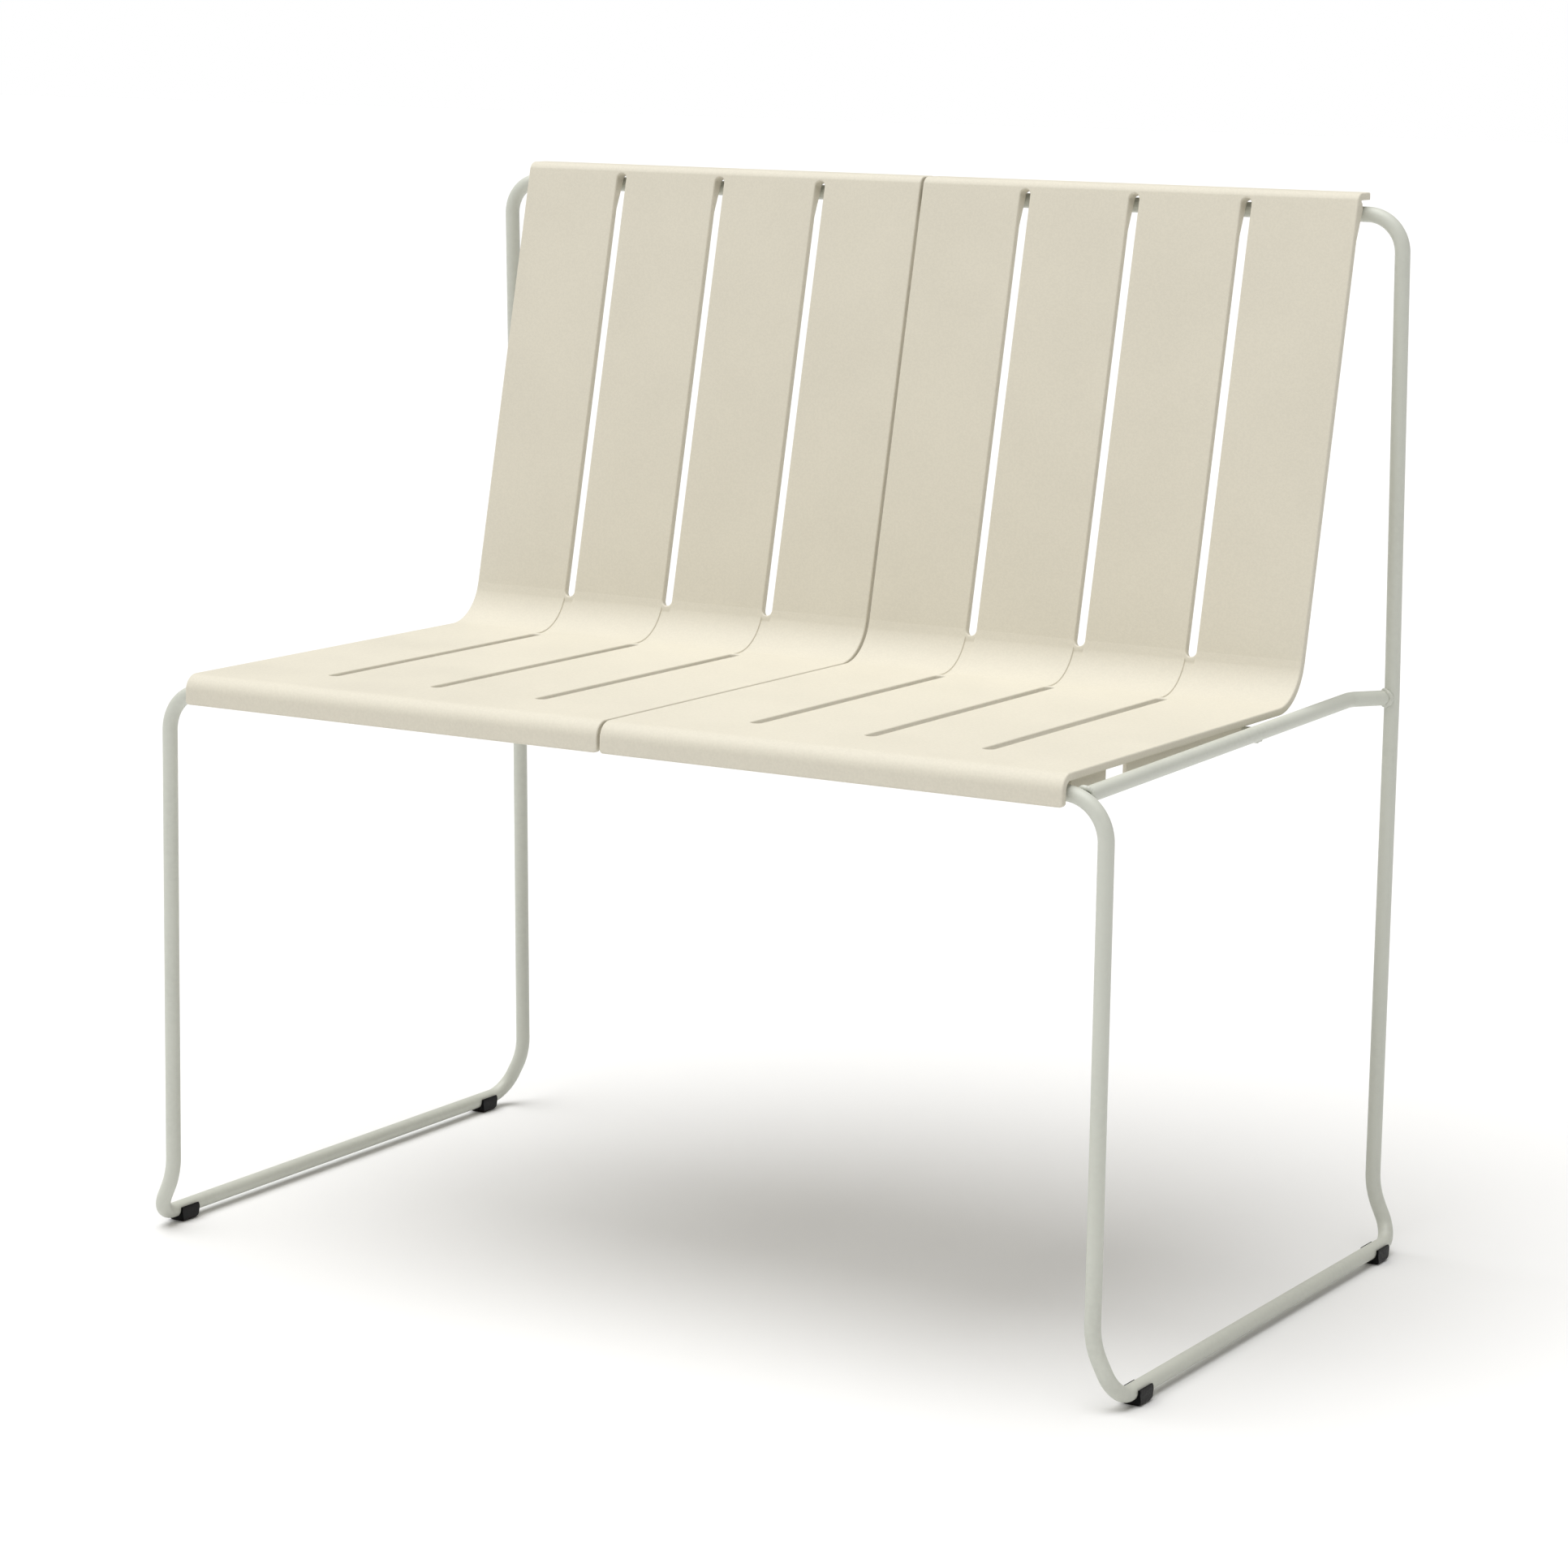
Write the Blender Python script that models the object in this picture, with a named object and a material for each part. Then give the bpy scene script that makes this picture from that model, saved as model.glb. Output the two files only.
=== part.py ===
"""Garden bench: two moulded slatted shells hooked over a bent steel rod frame.

Metres, +Z up, +Y towards the back. The origin is on the ground in the middle of the bench.
"""

import math

import bmesh
import bpy
from mathutils import Matrix, Vector

# Overall
OVERALL_DEPTH = 0.521
SEAT_HEIGHT = 0.4585
TOP_HEIGHT = 0.8463
GAP = 0.0003
ARC_STEP = math.radians(9.0)
SHARP_ANGLE = math.radians(35.0)
MERGE_DISTANCE = 1e-6

# Shells
SHELL_WIDTH = 0.3844
SLAT_PITCH = 0.0976
SLOT_WIDTH = 0.0089
CENTRE_GAP = 0.0024
SLATS_PER_SHELL = 4
SHELL_THICKNESS = 0.0058
BACK_LEAN = math.radians(12.2)
BACK_FOOT_Y = 0.1335
LIP_RADIUS = 0.0125
LIP_DROP = 0.0236
SEAT_BEND_RADIUS = 0.040
TOP_BEND_RADIUS = 0.0080
TOP_FLANGE_LENGTH = 0.0252
SADDLE_CLEARANCE = 0.0024
SADDLE_CHAMFER = 0.0018
SADDLE_TAPER = 0.0070
SLOT_SETBACK = 0.0640
SLOT_SEAT_END_Y = 0.0930
SLOT_BACK_FOOT_Z = 0.4855
SLOT_TOP_Z = 0.8395
SLOT_END_STEPS = 6
GROOVE_WIDTH = 0.0080
GROOVE_DEPTH = 0.0010
GROOVE_BEND_STEPS = 12
RIB_INSET = 0.0066
RIB_THICKNESS = 0.0030
RIB_DEPTH = 0.0115
RIB_SPANS = ((-0.2350, -0.1800), (-0.1480, 0.0480))

# Rod frame
ROD_RADIUS = 0.006
ROD_RESOLUTION = 5
FRONT_LEG_X = 0.413
FRONT_LEG_Y = -OVERALL_DEPTH / 2 + 0.0150
CROSSBAR_Z = 0.4433
CORNER_RADIUS = 0.033
TOP_CORNER_RADIUS = 0.029
RUNNER_X = 0.4318
RUNNER_Z = 0.010
KNEE_Z = 0.049
KNEE_RADIUS = 0.060
ELBOW_SHIFT = 0.002
ELBOW_RADIUS = 0.022
UPRIGHT_X = 0.416
UPRIGHT_FOOT_Y = OVERALL_DEPTH / 2 - ROD_RADIUS
UPRIGHT_JOINT_Y = UPRIGHT_FOOT_Y - 0.0060
UPRIGHT_BEND_RADIUS = 0.30
TOP_BAR_Y = UPRIGHT_FOOT_Y - 0.0206
TOP_BAR_Z = 0.8295
RAIL_JOINT_Z = 0.451
RAIL_X = 0.393
RAIL_FRONT_Z = 0.4417
RAIL_BEND_Y = UPRIGHT_JOINT_Y - 0.030
RAIL_BEND_RADIUS = 0.018
CROSS_RAIL_Y = 0.060
CROSS_RAIL_Z = 0.4431
WELD_LEG = 0.0030
WELD_REACH = 0.0045
WELD_SIDES = 20

# Glides under the runners
GLIDE_LENGTH = 0.023
GLIDE_WALL = 0.0018
GLIDE_TOP = 0.0030
GLIDE_CLEARANCE = 0.0005

# Saddle clips and their screws
CLIP_LENGTH = 0.022
CLIP_WALL = 0.0028
CLIP_TAB = 0.015
CLIP_REACH = 0.022
TOP_CLIP_DROP = 0.030
CLIP_SLATS = (1, 4)
SCREW_RADIUS = 0.0018
SCREW_HEAD_RADIUS = 0.0036
SCREW_HEAD_HEIGHT = 0.0022
SCREW_GRIP = 0.0040
SCREW_SIDES = 12

# Where each clip's collar starts and ends round its bar. The open quarter is the mouth it snaps on by.
FRONT_COLLAR = (math.radians(135), math.radians(-135))
CROSS_COLLAR = (math.radians(225), math.radians(-45))
TOP_COLLAR = (math.radians(135), math.radians(405))
TOP_COLLAR_FOOT = math.radians(230)

# Finishes: colour, roughness, metallic
SHELL_FINISH = ((0.80, 0.76, 0.66), 0.60, 0.0)
FRAME_FINISH = ((0.66, 0.67, 0.61), 0.50, 0.0)
GLIDE_FINISH = ((0.012, 0.012, 0.013), 0.50, 0.0)
CLIP_FINISH = ((0.58, 0.55, 0.47), 0.55, 0.0)
SCREW_FINISH = ((0.62, 0.61, 0.58), 0.35, 1.0)


def clear_scene():
    for item in list(bpy.data.objects):
        bpy.data.objects.remove(item, do_unlink=True)


def paint(data, finish):
    """Give a mesh or a curve a material of its own."""
    colour, roughness, metallic = finish
    material = bpy.data.materials.new(data.name)
    material.use_nodes = True
    shader = material.node_tree.nodes["Principled BSDF"]
    shader.inputs["Base Color"].default_value = (*colour, 1.0)
    shader.inputs["Roughness"].default_value = roughness
    shader.inputs["Metallic"].default_value = metallic
    data.materials.clear()
    data.materials.append(material)


def add_mesh(name, mesh_builder):
    """Link a bmesh as a new object with smooth round stretches."""
    bmesh.ops.recalc_face_normals(mesh_builder, faces=mesh_builder.faces)
    mesh = bpy.data.meshes.new(name)
    mesh_builder.to_mesh(mesh)
    mesh_builder.free()
    mesh.shade_smooth()
    mesh.set_sharp_from_angle(angle=SHARP_ANGLE)
    item = bpy.data.objects.new(name, mesh)
    bpy.context.collection.objects.link(item)
    return item


def arc_points(centre, radius, start, end):
    """Points (y, z) of an arc about a centre, both ends included."""
    steps = max(2, math.ceil(abs(end - start) / ARC_STEP))
    angles = [start + (end - start) * step / steps for step in range(steps + 1)]
    return [(centre[0] + radius * math.cos(a), centre[1] + radius * math.sin(a)) for a in angles]


def mirrored(point):
    return Vector((-point[0], point[1], point[2]))


# --- shells -----------------------------------------------------------------

def back_y(z):
    """Y of the back's front face at a height."""
    return BACK_FOOT_Y + (z - SEAT_HEIGHT) * math.tan(BACK_LEAN)


def shell_path(inset):
    """The shell's section line (y, z), from lip to rear flange, moved in by a distance.

    The line follows the sitting face. An inset of zero is that face, and an inset of the wall
    thickness is the hidden face.
    """
    lip_y = -OVERALL_DEPTH / 2
    lip_centre = (lip_y + LIP_RADIUS, SEAT_HEIGHT - LIP_RADIUS)
    points = [(lip_y + inset, SEAT_HEIGHT - LIP_DROP)]
    points += arc_points(lip_centre, LIP_RADIUS - inset, math.pi, math.pi / 2)
    turn = math.pi / 2 - BACK_LEAN
    tangent = SEAT_BEND_RADIUS * math.tan(turn / 2)
    bend_centre = (BACK_FOOT_Y - tangent, SEAT_HEIGHT + SEAT_BEND_RADIUS)
    points += arc_points(bend_centre, SEAT_BEND_RADIUS + inset, -math.pi / 2, -BACK_LEAN)
    roll_centre_z = TOP_HEIGHT - TOP_BEND_RADIUS
    face_z = roll_centre_z + TOP_BEND_RADIUS * math.sin(BACK_LEAN)
    roll_centre = (back_y(face_z) + TOP_BEND_RADIUS * math.cos(BACK_LEAN), roll_centre_z)
    points += arc_points(roll_centre, TOP_BEND_RADIUS - inset, math.pi - BACK_LEAN, math.pi / 2)
    points.append((roll_centre[0] - TOP_BEND_RADIUS + TOP_FLANGE_LENGTH, TOP_HEIGHT - inset))
    return points


def saddle_face():
    """Y of the saddle's upright rear face, and the height where that face starts.

    The face stands just in front of the top bar and reaches down to the bar's underside.
    """
    return TOP_BAR_Y - ROD_RADIUS - SADDLE_CLEARANCE, TOP_BAR_Z - ROD_RADIUS


def shell_outline():
    """Closed section of a shell, with the thicker saddle behind the top."""
    outer = shell_path(0.0)
    inner = shell_path(SHELL_THICKNESS)
    flange_end = inner.pop()
    saddle_y, saddle_low = saddle_face()
    foot = saddle_low - SADDLE_TAPER
    saddle = [
        (back_y(foot) + SHELL_THICKNESS / math.cos(BACK_LEAN), foot),
        (saddle_y - SADDLE_CHAMFER, saddle_low - SADDLE_CHAMFER),
        (saddle_y, saddle_low),
        (saddle_y, flange_end[1]),
    ]
    inner = [point for point in inner if point[1] < foot]
    return outer + [flange_end] + list(reversed(saddle)) + list(reversed(inner))


def extrude_outline(name, outline, low_x, high_x):
    """Extrude a closed (y, z) outline along X."""
    builder = bmesh.new()
    ring = [builder.verts.new((low_x, y, z)) for y, z in outline]
    face = builder.faces.new(ring)
    sweep = bmesh.ops.extrude_face_region(builder, geom=[face])
    moved = [element for element in sweep["geom"] if isinstance(element, bmesh.types.BMVert)]
    bmesh.ops.translate(builder, verts=moved, vec=(high_x - low_x, 0, 0))
    return add_mesh(name, builder)


def cap_reaches():
    """Distances from a slot's end where its round end has a cross-section."""
    turns = [math.pi / 2 * step / SLOT_END_STEPS for step in range(1, SLOT_END_STEPS + 1)]
    return [SLOT_WIDTH / 2 * (1 - math.cos(angle)) for angle in turns]


def seat_slot_stations():
    """Cross-sections of a seat slot's cutter: (y, z, angle of the face's normal, half width)."""
    start_y = -OVERALL_DEPTH / 2 + SLOT_SETBACK
    front = [(start_y + reach, reach) for reach in cap_reaches()]
    rear = [(SLOT_SEAT_END_Y - reach, reach) for reach in reversed(cap_reaches())]
    return [(y, SEAT_HEIGHT, math.pi / 2, half_width(reach)) for y, reach in front + rear]


def back_slot_stations():
    """Cross-sections of a back slot's cutter, from its foot to its top."""
    foot = [(SLOT_BACK_FOOT_Z + reach * math.cos(BACK_LEAN), reach) for reach in cap_reaches()]
    top = [(SLOT_TOP_Z - reach * math.cos(BACK_LEAN), reach) for reach in reversed(cap_reaches())]
    return [(back_y(z), z, math.pi - BACK_LEAN, half_width(reach)) for z, reach in foot + top]


def groove_stations():
    """Cross-sections of the shallow groove that joins a seat slot to its back slot round the bend."""
    radius = SLOT_WIDTH / 2
    half = GROOVE_WIDTH / 2
    turn = math.pi / 2 - BACK_LEAN
    bend_centre = (BACK_FOOT_Y - SEAT_BEND_RADIUS * math.tan(turn / 2), SEAT_HEIGHT + SEAT_BEND_RADIUS)
    stations = [(SLOT_SEAT_END_Y - radius, SEAT_HEIGHT, math.pi / 2, half)]
    for step in range(GROOVE_BEND_STEPS + 1):
        angle = -math.pi / 2 + turn * step / GROOVE_BEND_STEPS
        y = bend_centre[0] + SEAT_BEND_RADIUS * math.cos(angle)
        z = bend_centre[1] + SEAT_BEND_RADIUS * math.sin(angle)
        stations.append((y, z, angle + math.pi, half))
    end_z = SLOT_BACK_FOOT_Z + 2 * radius
    return stations + [(back_y(end_z), end_z, math.pi - BACK_LEAN, half)]


def half_width(reach):
    """Half of a slot's width at a distance from its round end."""
    radius = SLOT_WIDTH / 2
    return math.sqrt(max(radius ** 2 - (radius - min(reach, radius)) ** 2, 0.0))


def slot_cutter(name, centre_x, stations, depth):
    """A bar that follows the stations and cuts to a depth below the sitting face."""
    reach_out = 3 * SHELL_THICKNESS
    builder = bmesh.new()
    rings = []
    for y, z, normal, half in stations:
        ring = []
        for side, offset in ((-1, -depth), (1, -depth), (1, reach_out), (-1, reach_out)):
            place = (centre_x + side * half, y + offset * math.cos(normal), z + offset * math.sin(normal))
            ring.append(builder.verts.new(place))
        rings.append(ring)
    for first, second in zip(rings, rings[1:]):
        for corner in range(4):
            following = (corner + 1) % 4
            builder.faces.new((first[corner], first[following], second[following], second[corner]))
    builder.faces.new(rings[0])
    builder.faces.new(reversed(rings[-1]))
    return as_cutter(add_mesh(name, builder))


def edge_ribs(name, outer_x, side):
    """Upright ribs under the seat, just inside a shell's outer edge and clear of the cross rail."""
    middle = outer_x - side * (RIB_INSET + RIB_THICKNESS / 2)
    under = SEAT_HEIGHT - SHELL_THICKNESS
    ribs = []
    for number, (near_y, far_y) in enumerate(RIB_SPANS):
        outline = [(near_y, under - RIB_DEPTH), (far_y, under - RIB_DEPTH),
                   (far_y, under + SHELL_THICKNESS / 2), (near_y, under + SHELL_THICKNESS / 2)]
        ribs.append(as_cutter(extrude_outline(
            f"{name}_rib_{number}", outline, middle - RIB_THICKNESS / 2, middle + RIB_THICKNESS / 2)))
    return ribs


def as_cutter(item):
    item.hide_render = True
    item.display_type = "WIRE"
    return item


def cut(item, cutters, operation="DIFFERENCE"):
    """Cut the cutters out of an item, or weld them to it with the operation "UNION"."""
    for cutter in cutters:
        modifier = item.modifiers.new(cutter.name, "BOOLEAN")
        modifier.operation = operation
        modifier.solver = "EXACT"
        modifier.object = cutter


def shell_x(place):
    """Distance from the bench's middle plane; a shell's slots are at 1, 2 and 3."""
    return CENTRE_GAP / 2 + SHELL_WIDTH / 2 + (place - SLATS_PER_SHELL / 2) * SLAT_PITCH


def make_shell(name, side):
    """One shell; side is -1 for the left one and 1 for the right one."""
    inner_x = side * CENTRE_GAP / 2
    outer_x = inner_x + side * SHELL_WIDTH
    shell = extrude_outline(name, shell_outline(), min(inner_x, outer_x), max(inner_x, outer_x))
    paint(shell.data, SHELL_FINISH)
    cut(shell, edge_ribs(name, outer_x, side), "UNION")
    right_through = 3 * SHELL_THICKNESS
    for number in range(1, SLATS_PER_SHELL):
        centre_x = side * shell_x(number)
        cut(shell, [
            slot_cutter(f"{name}_seat_slot_{number}", centre_x, seat_slot_stations(), right_through),
            slot_cutter(f"{name}_back_slot_{number}", centre_x, back_slot_stations(), right_through),
            slot_cutter(f"{name}_groove_{number}", centre_x, groove_stations(), GROOVE_DEPTH),
        ])
    return shell


# --- rod frame --------------------------------------------------------------

def rounded_route(corners, radii):
    """A polyline with each inner corner replaced by an arc of its own radius."""
    route = [Vector(corners[0])]
    for before, corner, after, radius in zip(corners, corners[1:], corners[2:], radii):
        corner = Vector(corner)
        arriving = (corner - Vector(before)).normalized()
        leaving = (Vector(after) - corner).normalized()
        turn = arriving.angle(leaving)
        tangent = radius * math.tan(turn / 2)
        start = corner - arriving * tangent
        inward = (leaving - arriving * arriving.dot(leaving)).normalized()
        centre = start + inward * radius
        steps = max(2, math.ceil(turn / ARC_STEP))
        for step in range(steps + 1):
            angle = turn * step / steps
            route.append(centre - inward * radius * math.cos(angle) + arriving * radius * math.sin(angle))
    route.append(Vector(corners[-1]))
    return route


def round_bar(name, route, radius):
    """A round rod along a route, as a curve with a bevel and filled caps."""
    curve = bpy.data.curves.new(name, "CURVE")
    curve.dimensions = "3D"
    curve.bevel_depth = radius
    curve.bevel_resolution = ROD_RESOLUTION
    curve.use_fill_caps = True
    spline = curve.splines.new("POLY")
    spline.points.add(len(route) - 1)
    for point, place in zip(spline.points, route):
        point.co = (*place, 1.0)
    spline.use_smooth = True
    item = bpy.data.objects.new(name, curve)
    bpy.context.collection.objects.link(item)
    return item


def make_rod(name, route):
    rod = round_bar(name, route, ROD_RADIUS)
    paint(rod.data, FRAME_FINISH)


def rod_space(name, route):
    """A closed mesh a little wider than a rod, for cutting what lies against it."""
    guide = round_bar(f"{name}_guide", route, ROD_RADIUS + GAP)
    builder = bmesh.new()
    builder.from_mesh(guide.to_mesh())
    bmesh.ops.remove_doubles(builder, verts=builder.verts, dist=MERGE_DISTANCE)
    bpy.data.objects.remove(guide, do_unlink=True)
    return as_cutter(add_mesh(name, builder))


def leg_corners(leg_x, top, knee_y, elbow_y):
    """Corners of a right-hand leg from its top joint down to the middle of the runner."""
    runner_middle = (RUNNER_X, (1 if elbow_y > 0 else -1) * GAP / 2, RUNNER_Z)
    return [top, (leg_x, knee_y, KNEE_Z), (RUNNER_X, elbow_y, RUNNER_Z), runner_middle]


def hoop_route(right_side, radii):
    """A hoop's whole route from its right half, which starts at the bar's corner."""
    left_side = [mirrored(point) for point in reversed(right_side)]
    return rounded_route(left_side + [Vector(point) for point in right_side], list(reversed(radii)) + radii)


def front_hoop_route():
    corner = (FRONT_LEG_X, FRONT_LEG_Y, CROSSBAR_Z)
    elbow_y = FRONT_LEG_Y + ELBOW_SHIFT
    right = leg_corners(FRONT_LEG_X, corner, FRONT_LEG_Y, elbow_y)
    return hoop_route(right, [CORNER_RADIUS, KNEE_RADIUS, ELBOW_RADIUS])


def rear_hoop_route():
    corner = (UPRIGHT_X, TOP_BAR_Y, TOP_BAR_Z)
    joint = (UPRIGHT_X, UPRIGHT_JOINT_Y, RAIL_JOINT_Z)
    elbow_y = UPRIGHT_FOOT_Y - ELBOW_SHIFT
    right = [corner] + leg_corners(FRONT_LEG_X, joint, UPRIGHT_FOOT_Y, elbow_y)
    return hoop_route(right, [TOP_CORNER_RADIUS, UPRIGHT_BEND_RADIUS, KNEE_RADIUS, ELBOW_RADIUS])


def side_rail_route(side):
    """From behind the front crossbar back to the inner side of the upright."""
    front = Vector((side * RAIL_X, FRONT_LEG_Y + ROD_RADIUS + GAP, RAIL_FRONT_Z))
    bend = Vector((side * RAIL_X, RAIL_BEND_Y, RAIL_JOINT_Z))
    upright = Vector((side * UPRIGHT_X, UPRIGHT_JOINT_Y, RAIL_JOINT_Z))
    inward = (bend - upright).normalized()
    end = upright + inward * (ROD_RADIUS + GAP)
    return rounded_route([front, bend, end], [RAIL_BEND_RADIUS])


def cross_rail_route():
    half = RAIL_X - ROD_RADIUS - GAP
    return [Vector((-half, CROSS_RAIL_Y, CROSS_RAIL_Z)), Vector((half, CROSS_RAIL_Y, CROSS_RAIL_Z))]


def make_weld(name, end, inward, neighbours):
    """A fillet weld round the end of a rod; inward points from the joint into that rod."""
    inward = inward.normalized()
    depth = WELD_REACH + WELD_LEG
    builder = bmesh.new()
    turn = inward.to_track_quat("Z", "Y").to_matrix().to_4x4()
    middle = Matrix.Translation(end + inward * (WELD_REACH - WELD_LEG) / 2)
    bmesh.ops.create_cone(
        builder, cap_ends=True, segments=WELD_SIDES, depth=depth,
        radius1=ROD_RADIUS + WELD_LEG, radius2=ROD_RADIUS + 2 * GAP, matrix=middle @ turn)
    weld = add_mesh(name, builder)
    paint(weld.data, FRAME_FINISH)
    cut(weld, neighbours)
    return weld


def make_frame():
    front_route = front_hoop_route()
    rear_route = rear_hoop_route()
    make_rod("front_hoop", front_route)
    make_rod("rear_hoop", rear_route)
    cross_route = cross_rail_route()
    make_rod("rear_cross_rail", cross_route)
    front_space = rod_space("front_hoop_space", front_route)
    rear_space = rod_space("rear_hoop_space", rear_route)
    cross_space = rod_space("cross_rail_space", lengthened(cross_route))
    for side, word in ((-1, "left"), (1, "right")):
        rail_route = side_rail_route(side)
        make_rod(f"side_rail_{word}", rail_route)
        rail_space = rod_space(f"side_rail_{word}_space", lengthened(rail_route))
        make_weld(f"weld_front_{word}", rail_route[0], rail_route[1] - rail_route[0],
                  (front_space, rail_space))
        make_weld(f"weld_rear_{word}", rail_route[-1], rail_route[-2] - rail_route[-1],
                  (rear_space, rail_space))
        cross_end = cross_route[0 if side < 0 else 1]
        make_weld(f"weld_cross_{word}", cross_end, Vector((-side, 0, 0)), (rail_space, cross_space))


def lengthened(route):
    """The same route with both ends run on, for a clean cut past them."""
    extra = 2 * ROD_RADIUS
    first = route[0] + (route[0] - route[1]).normalized() * extra
    last = route[-1] + (route[-1] - route[-2]).normalized() * extra
    return [first] + route[1:-1] + [last]


# --- glides -----------------------------------------------------------------

def glide_outline():
    """Closed (x, z) section of a glide about the runner's centre: a cradle on a flat sole."""
    inner = ROD_RADIUS + GAP
    outer = inner + GLIDE_WALL
    lip = math.asin(GLIDE_TOP / outer)
    cradle = arc_points((0.0, RUNNER_Z), inner, -math.pi - lip, lip)
    sole = 0.75 * outer
    outer_side = [(outer, RUNNER_Z), (outer, 0.3 * RUNNER_Z), (sole, 0.0)]
    mirrored_side = [(-x, z) for x, z in reversed(outer_side)]
    wing = (outer * math.cos(lip), RUNNER_Z + outer * math.sin(lip))
    return cradle + [wing] + outer_side + mirrored_side + [(-wing[0], wing[1])]


def make_glide(name, side, near_y, far_y):
    """A moulded clip-on glide under one end of a runner."""
    builder = bmesh.new()
    ring = [builder.verts.new((side * RUNNER_X + x, near_y, z)) for x, z in glide_outline()]
    face = builder.faces.new(ring)
    sweep = bmesh.ops.extrude_face_region(builder, geom=[face])
    moved = [element for element in sweep["geom"] if isinstance(element, bmesh.types.BMVert)]
    bmesh.ops.translate(builder, verts=moved, vec=(0, far_y - near_y, 0))
    glide = add_mesh(name, builder)
    paint(glide.data, GLIDE_FINISH)


def make_glides():
    elbow_reach = ELBOW_RADIUS + GLIDE_CLEARANCE
    front_start = FRONT_LEG_Y + ELBOW_SHIFT + elbow_reach
    rear_start = UPRIGHT_FOOT_Y - ELBOW_SHIFT - elbow_reach
    for side, word in ((-1, "left"), (1, "right")):
        make_glide(f"glide_front_{word}", side, front_start, front_start + GLIDE_LENGTH)
        make_glide(f"glide_rear_{word}", side, rear_start - GLIDE_LENGTH, rear_start)


# --- saddle clips and screws --------------------------------------------------

def collar_outline(bar, span, outer_start, corners):
    """Closed section of a clip: a collar over a span of angles round a bar, whose outer side leaves
    the arc at outer_start and runs through the corners back to the collar's start."""
    start, end = span
    inner = arc_points(bar, ROD_RADIUS + GAP, start, end)
    outer = arc_points(bar, ROD_RADIUS + GAP + CLIP_WALL, end, outer_start)
    return inner + outer + corners


def seat_tab(bar):
    """Where a clip on a bar meets the seat's underside: its face, its tab's rear corners, and the
    angle at which the collar's outer side runs into the tab."""
    face = SEAT_HEIGHT - SHELL_THICKNESS - GAP
    far = bar[0] + CLIP_REACH
    shoulder = math.asin((face - CLIP_WALL - bar[1]) / (ROD_RADIUS + GAP + CLIP_WALL))
    return face, [(far, face - CLIP_WALL), (far, face)], shoulder


def front_clip_outline():
    """Snaps on the front crossbar from behind and lies against the seat."""
    bar = (FRONT_LEG_Y, CROSSBAR_Z)
    face, tab, shoulder = seat_tab(bar)
    corners = tab + [(bar[0] - 0.4 * ROD_RADIUS, face)]
    return collar_outline(bar, FRONT_COLLAR, shoulder, corners)


def cross_clip_outline():
    """Snaps on the cross rail from above, with a tab on each side against the seat."""
    bar = (CROSS_RAIL_Y, CROSS_RAIL_Z)
    _, rear_tab, shoulder = seat_tab(bar)
    front_tab = [(2 * bar[0] - y, z) for y, z in reversed(rear_tab)]
    front_side = arc_points(bar, ROD_RADIUS + GAP + CLIP_WALL, math.pi - shoulder, CROSS_COLLAR[0])
    corners = rear_tab + front_tab + front_side
    return collar_outline(bar, CROSS_COLLAR, shoulder, corners)


def back_frame(z):
    """A point on the back's rear face at a height, its upward direction and its rearward normal."""
    rear = SHELL_THICKNESS / math.cos(BACK_LEAN) + GAP
    up = Vector((math.sin(BACK_LEAN), math.cos(BACK_LEAN)))
    out = Vector((math.cos(BACK_LEAN), -math.sin(BACK_LEAN)))
    return Vector((back_y(z) + rear, z)), up, out


def top_clip_outline():
    """Snaps on the top bar from below, with a tab down against the back."""
    bar = (TOP_BAR_Y, TOP_BAR_Z)
    tab_top, up, out = back_frame(TOP_BAR_Z - TOP_CLIP_DROP)
    tab_low = tab_top - up * CLIP_TAB
    wall = out * CLIP_WALL
    saddle_y, saddle_low = saddle_face()
    tab = [tuple(point) for point in (tab_top + wall, tab_low + wall, tab_low, tab_top + up * CLIP_WALL)]
    block = [(saddle_y + GAP, saddle_low), (saddle_y + GAP, TOP_BAR_Z + 0.6 * ROD_RADIUS)]
    return collar_outline(bar, TOP_COLLAR, TOP_COLLAR_FOOT, tab + block)


def screw_shape():
    """The mesh that every screw shares: a pan head below the tab, and a shank up +Z into a shell."""
    tip = CLIP_WALL + SCREW_GRIP
    profile = [
        (0.0, -SCREW_HEAD_HEIGHT), (0.55 * SCREW_HEAD_RADIUS, -0.95 * SCREW_HEAD_HEIGHT),
        (0.9 * SCREW_HEAD_RADIUS, -0.6 * SCREW_HEAD_HEIGHT), (SCREW_HEAD_RADIUS, 0.0),
        (SCREW_RADIUS, 0.0), (SCREW_RADIUS, tip), (0.0, tip),
    ]
    builder = bmesh.new()
    start = [builder.verts.new((radius, 0, z)) for radius, z in profile]
    edges = [builder.edges.new(pair) for pair in zip(start, start[1:])]
    bmesh.ops.spin(builder, geom=start + edges, cent=(0, 0, 0), axis=(0, 0, 1),
                   angle=2 * math.pi, steps=SCREW_SIDES, use_merge=True)
    bmesh.ops.remove_doubles(builder, verts=builder.verts, dist=MERGE_DISTANCE)
    bmesh.ops.recalc_face_normals(builder, faces=builder.faces)
    mesh = bpy.data.meshes.new("screw")
    builder.to_mesh(mesh)
    builder.free()
    mesh.shade_smooth()
    mesh.set_sharp_from_angle(angle=SHARP_ANGLE)
    return mesh


def make_screw(name, shape, place, direction):
    screw = bpy.data.objects.new(name, shape)
    screw.location = place
    screw.rotation_euler = direction.to_track_quat("Z", "Y").to_euler()
    bpy.context.collection.objects.link(screw)


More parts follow.
